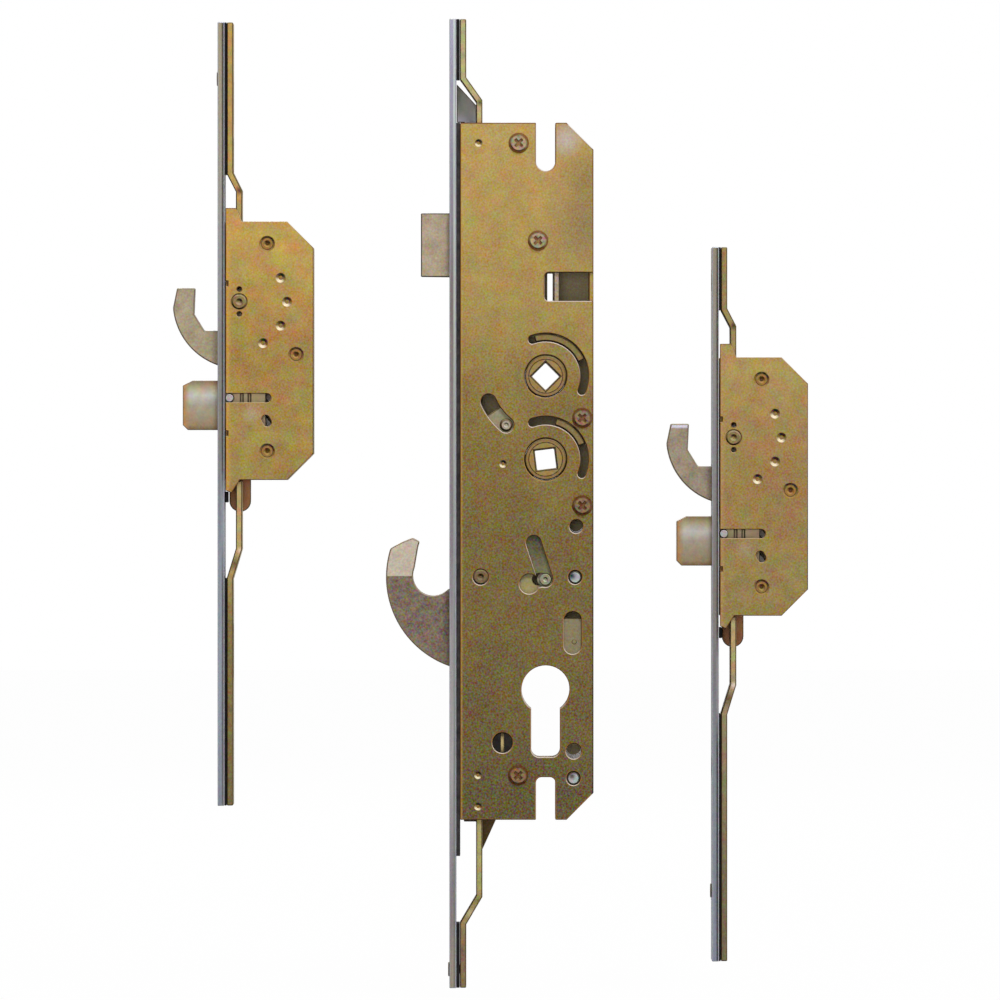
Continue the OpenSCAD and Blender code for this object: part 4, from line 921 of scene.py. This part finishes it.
# Looks by the end of a node's name, first match first: finish, edges' finish, their width and joining in mm
LOOKS = (
    ("upper_case_cover", UPPER_ZINC, UPPER_EDGE, 0.3),
    ("upper_case_tray", UPPER_ZINC, UPPER_EDGE, 0.25),
    ("lower_case_cover", LOWER_ZINC, LOWER_EDGE, 0.3),
    ("lower_case_tray", LOWER_ZINC, LOWER_EDGE, 0.25),
    ("centre_case_cover", CENTRE_ZINC, CENTRE_EDGE, 0.4),
    ("centre_case_tray", CENTRE_ZINC, CENTRE_EDGE, 0.25),
    ("centre_case_screws", PAN_SCREW, PAN_SCREW, 0.2),
    ("case_screws", SUNK_SCREW, BROWN_EDGE, 0.35),
    ("centre_hook_pivot", PIVOT, BROWN_EDGE, 0.3),
    ("hook_pivot", SIDE_PIVOT, BROWN_EDGE, 0.3),
    ("upper_faceplate", UPPER_STRIP, STRIP_EDGE, 0.3),
    ("lower_faceplate", LOWER_STRIP, STRIP_EDGE, 0.3),
    ("centre_faceplate", CENTRE_STRIP, STRIP_EDGE, 0.3),
    ("centre_fore_end", FORE_END_SHADOW_BLACK, FORE_END_SHADOW_BLACK, 0.2),
    ("upper_rail_rivet", UPPER_RAIL, BROWN_EDGE, 0.2),
    ("lower_rail_rivet", LOWER_RAIL, BROWN_EDGE, 0.2),
    ("centre_rail_rivet", CENTRE_RAIL, BROWN_EDGE, 0.2),
    (("upper_rail_top", "upper_rail_bottom"), UPPER_RAIL, BROWN_EDGE, 0.4),
    (("lower_rail_top", "lower_rail_bottom"), LOWER_RAIL, BROWN_EDGE, 0.4),
    (("centre_rail_top", "centre_rail_bottom"), CENTRE_RAIL, BROWN_EDGE, 0.4),
    ("drive_slider", DRIVE_ZINC, BROWN_EDGE, 0.3),
    ("slider", COPPER_ZINC, BROWN_EDGE, 0.35),
    ("lock_slide", LOCK_ZINC, BROWN_EDGE, 0.12),
    ("latch_spring_stop", LOCK_ZINC, BROWN_EDGE, 0.2),
    ("upper_hook", UPPER_HOOK, STEEL_EDGE, 0.5, 0.13),
    ("lower_hook", LOWER_HOOK, STEEL_EDGE, 0.5, 0.13),
    ("centre_hook", CENTRE_HOOK, STEEL_EDGE, 0.5),
    ("latch", LATCH, DARK_EDGE, 0.4),
    ("upper_bolt", UPPER_BOLT, STEEL_EDGE, 0.3),
    ("lower_bolt", LOWER_BOLT, STEEL_EDGE, 0.3),
    ("upper_follower", UPPER_FOLLOWER, BROWN_EDGE, 0.4),
    ("lower_follower", LOWER_FOLLOWER, BROWN_EDGE, 0.4),
    ("guide_block", NYLON, NYLON, 0.3),
    ("screw_guide", GUIDE, GUIDE, 0.15),
    ("case_rivets", RIVET, DARK_EDGE, 0.5),
    ("deadlock_pin", PIN, PIN, 0.15),
    ("", BRIGHT, BRIGHT, 0.15),
)

# How near points are joined where a look doesn't say, and steps and material slot of rounded edges
JOIN_MM = 0.04
EDGE_SEGMENTS = 3
EDGE_SLOT = 1

# Angles up to which faces count as flat, from which edges are rounded, and from which shading is split
FLAT_ANGLE = math.radians(1)
SHARP_ANGLE = math.radians(50)
CRISP_ANGLE = math.radians(32)


def dress(piece, finish, edge, width_mm, join_mm=JOIN_MM):
    """Gives a piece its finish, and rounds its sharp edges in an edge finish with painted light and shade."""
    piece.data.materials.clear()
    for material in (finish, edge):
        piece.data.materials.append(material)
    weld = piece.modifiers.new("weld", "WELD")
    weld.merge_threshold = join_mm * MM
    flat = piece.modifiers.new("flat", "DECIMATE")
    flat.decimate_type = "DISSOLVE"
    flat.angle_limit = FLAT_ANGLE
    bevel = piece.modifiers.new("edges", "BEVEL")
    bevel.width = width_mm * MM
    bevel.segments = EDGE_SEGMENTS
    bevel.limit_method = "ANGLE"
    bevel.angle_limit = SHARP_ANGLE
    bevel.use_clamp_overlap = False
    bevel.loop_slide = False
    bevel.material = EDGE_SLOT
    crisp = piece.modifiers.new("crisp", "EDGE_SPLIT")
    crisp.split_angle = CRISP_ANGLE
    piece.modifiers.new("normals", "WEIGHTED_NORMAL")


for node_name, node in NODES.items():
    look = next(look for look in LOOKS if node_name.endswith(look[0]))
    dress(node, *look[1:])


# Black bars that fill the shadow gaps between the strips and the rails' straight lengths, with their least
# and most Y in mm
SHADOW_BAR_SPANS = ((-5.6, -3.4), (2.8, 4.1))
SHADOW_BAR_CLEAR = 0.1 * MM
SHADOW_BAR_ROUNDING = 0.15 * MM

# Depth of a rail's front, whose points mark the straight length
RAIL_FRONT = 0.1 * MM


def rail_shadow_bar(unit, end):
    """Two black bars that fill the shadow gap between a strip and the straight length of one of its rails."""
    rail = NODES[f"{unit}_rail_{end}"]
    rail_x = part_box(rail.name)[0].x
    strip_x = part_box(f"{unit}_faceplate")[1].x
    run = [vertex.co.z for vertex in rail.data.vertices if vertex.co.x < rail_x + RAIL_FRONT]
    low_z, high_z = min(run), max(run)
    bars = bmesh.new()
    for low_y, high_y in SHADOW_BAR_SPANS:
        bar = bmesh.ops.create_cube(bars, size=1.0)["verts"]
        size = Vector((rail_x - strip_x - SHADOW_BAR_CLEAR, (high_y - low_y) * MM, high_z - low_z))
        middle = Vector((rail_x + strip_x - SHADOW_BAR_CLEAR, (low_y + high_y) * MM, low_z + high_z)) / 2
        bmesh.ops.scale(bars, vec=size, verts=bar)
        bmesh.ops.translate(bars, vec=middle, verts=bar)
    bmesh.ops.bevel(bars, geom=bars.edges[:], offset=SHADOW_BAR_ROUNDING, segments=2, affect="EDGES", profile=0.5)
    mesh = bpy.data.meshes.new(f"{unit}_{end}_shadow_bar")
    bars.to_mesh(mesh)
    bars.free()
    mesh.materials.append(NYLON)
    piece = placed(f"{unit}_{end}_shadow_bar", mesh)
    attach(piece, "frame")


for shadow_bar_unit in ("upper", "centre", "lower"):
    for shadow_bar_end in ("top", "bottom"):
        rail_shadow_bar(shadow_bar_unit, shadow_bar_end)


# Latch spring: a coil of round wire
SPRING_WIRE = 0.4 * MM
SPRING_TURNS = 6
TURN_STEPS = 24
WIRE_ROUNDNESS = 4


def latch_spring():
    """Coil in the place of the solid spring."""
    low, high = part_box("latch_spring")
    radius = (high.z - low.z) / 2 - SPRING_WIRE
    axis_z = (low.z + high.z) / 2
    steps = SPRING_TURNS * TURN_STEPS
    curve = bpy.data.curves.new("spring_wire", "CURVE")
    curve.dimensions = "3D"
    curve.bevel_depth = SPRING_WIRE
    curve.bevel_resolution = WIRE_ROUNDNESS
    curve.use_fill_caps = True
    line = curve.splines.new("POLY")
    line.points.add(steps)
    for step, point in enumerate(line.points):
        turn = 2 * math.pi * step / TURN_STEPS
        x = low.x + SPRING_WIRE + (high.x - low.x - 2 * SPRING_WIRE) * step / steps
        point.co = (x, radius * math.cos(turn), axis_z + radius * math.sin(turn), 1)
    shape = placed("spring_shape", curve)
    mesh = bpy.data.meshes.new_from_object(shape.evaluated_get(bpy.context.evaluated_depsgraph_get()))
    bpy.data.objects.remove(shape)
    mesh.materials.append(BRIGHT)
    spring = placed("latch_spring_coil", mesh)
    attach(spring, "frame")
    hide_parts("latch_spring")
    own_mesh(spring)


latch_spring()


# Stage: pale floor, soft light and the photograph's view
VIEW_MIDDLE = Vector((18.4 * MM, 0.0, 0.0))
VIEW_WIDTH = 363.6 * MM
VIEW_DISTANCE = 3.0
SENSOR_MM = 36
FLOOR_DROP = 8 * MM
FLOOR_HALF = 6.0
FLOOR_SHADE = 0.85
FLOOR_ROUGHNESS = 0.9
FLOOR_WHITE = 0.985
WORLD_WHITE = 1.0
WORLD_STRENGTH = 0.22

# Name, place, size and power of each lamp
LAMPS = (
    ("key", (0.5, -1.7, 1.7), 0.6, 34),
    ("fill", (-0.2, -2.4, 0.2), 0.8, 7),
    ("back", (-0.4, 2.0, 1.2), 0.8, 22),
)


def white_to_viewer(tree, shader_output, surface_input, share):
    """A share of white to camera, glossy and transmission rays, and shader_output alone to all others."""
    path = tree.nodes.new("ShaderNodeLightPath")
    seen = calc(tree, "MAXIMUM", path.outputs["Is Camera Ray"], path.outputs["Is Glossy Ray"])
    seen = calc(tree, "MAXIMUM", seen, path.outputs["Is Transmission Ray"])
    white = tree.nodes.new("ShaderNodeEmission")
    choice = tree.nodes.new("ShaderNodeMixShader")
    tree.links.new(calc(tree, "MULTIPLY", seen, share), choice.inputs["Fac"])
    tree.links.new(shader_output, choice.inputs[1])
    tree.links.new(white.outputs["Emission"], choice.inputs[2])
    tree.links.new(choice.outputs["Shader"], surface_input)


def floor():
    """Pale floor below the part."""
    mesh = bpy.data.meshes.new("floor")
    z = CAD_BOX[0].z - FLOOR_DROP
    corners = [(x * FLOOR_HALF, y * FLOOR_HALF, z) for x, y in ((-1, -1), (1, -1), (1, 1), (-1, 1))]
    mesh.from_pydata(corners, [], [(0, 1, 2, 3)])
    piece = placed("floor", mesh)
    material, tree = new_material("floor_pale", metallic=0.0)
    shader = tree.nodes["Principled BSDF"]
    shader.inputs["Base Color"].default_value = (FLOOR_SHADE, FLOOR_SHADE, FLOOR_SHADE, 1)
    shader.inputs["Roughness"].default_value = FLOOR_ROUGHNESS
    surface = tree.nodes["Material Output"].inputs["Surface"]
    white_to_viewer(tree, shader.outputs["BSDF"], surface, FLOOR_WHITE)
    mesh.materials.append(material)


def world():
    """Soft light from all round, and a white background."""
    light = bpy.data.worlds.new("studio")
    bpy.context.scene.world = light
    light.use_nodes = True
    tree = light.node_tree
    soft = tree.nodes["Background"]
    soft.inputs["Color"].default_value = (1, 1, 1, 1)
    soft.inputs["Strength"].default_value = WORLD_STRENGTH
    surface = tree.nodes["World Output"].inputs["Surface"]
    white_to_viewer(tree, soft.outputs["Background"], surface, WORLD_WHITE)


def lamp(name, place, size, power):
    """Square lamp that faces the middle of the view."""
    data = bpy.data.lights.new(name, "AREA")
    data.size = size
    data.energy = power
    piece = placed(name, data)
    piece.location = place
    piece.rotation_euler = (VIEW_MIDDLE - Vector(place)).to_track_quat("-Z", "Y").to_euler()


def camera():
    """Camera straight in front, whose view is VIEW_WIDTH wide at the covers."""
    data = bpy.data.cameras.new("camera")
    data.sensor_width = SENSOR_MM
    data.lens = data.sensor_width * VIEW_DISTANCE / VIEW_WIDTH
    piece = placed("camera", data)
    piece.location = (VIEW_MIDDLE.x, COVER_Y - VIEW_DISTANCE, VIEW_MIDDLE.z)
    piece.rotation_euler = (math.radians(90), 0, 0)
    bpy.context.scene.camera = piece


floor()
world()
for lamp_values in LAMPS:
    lamp(*lamp_values)
camera()
bpy.context.scene.view_settings.view_transform = "Standard"
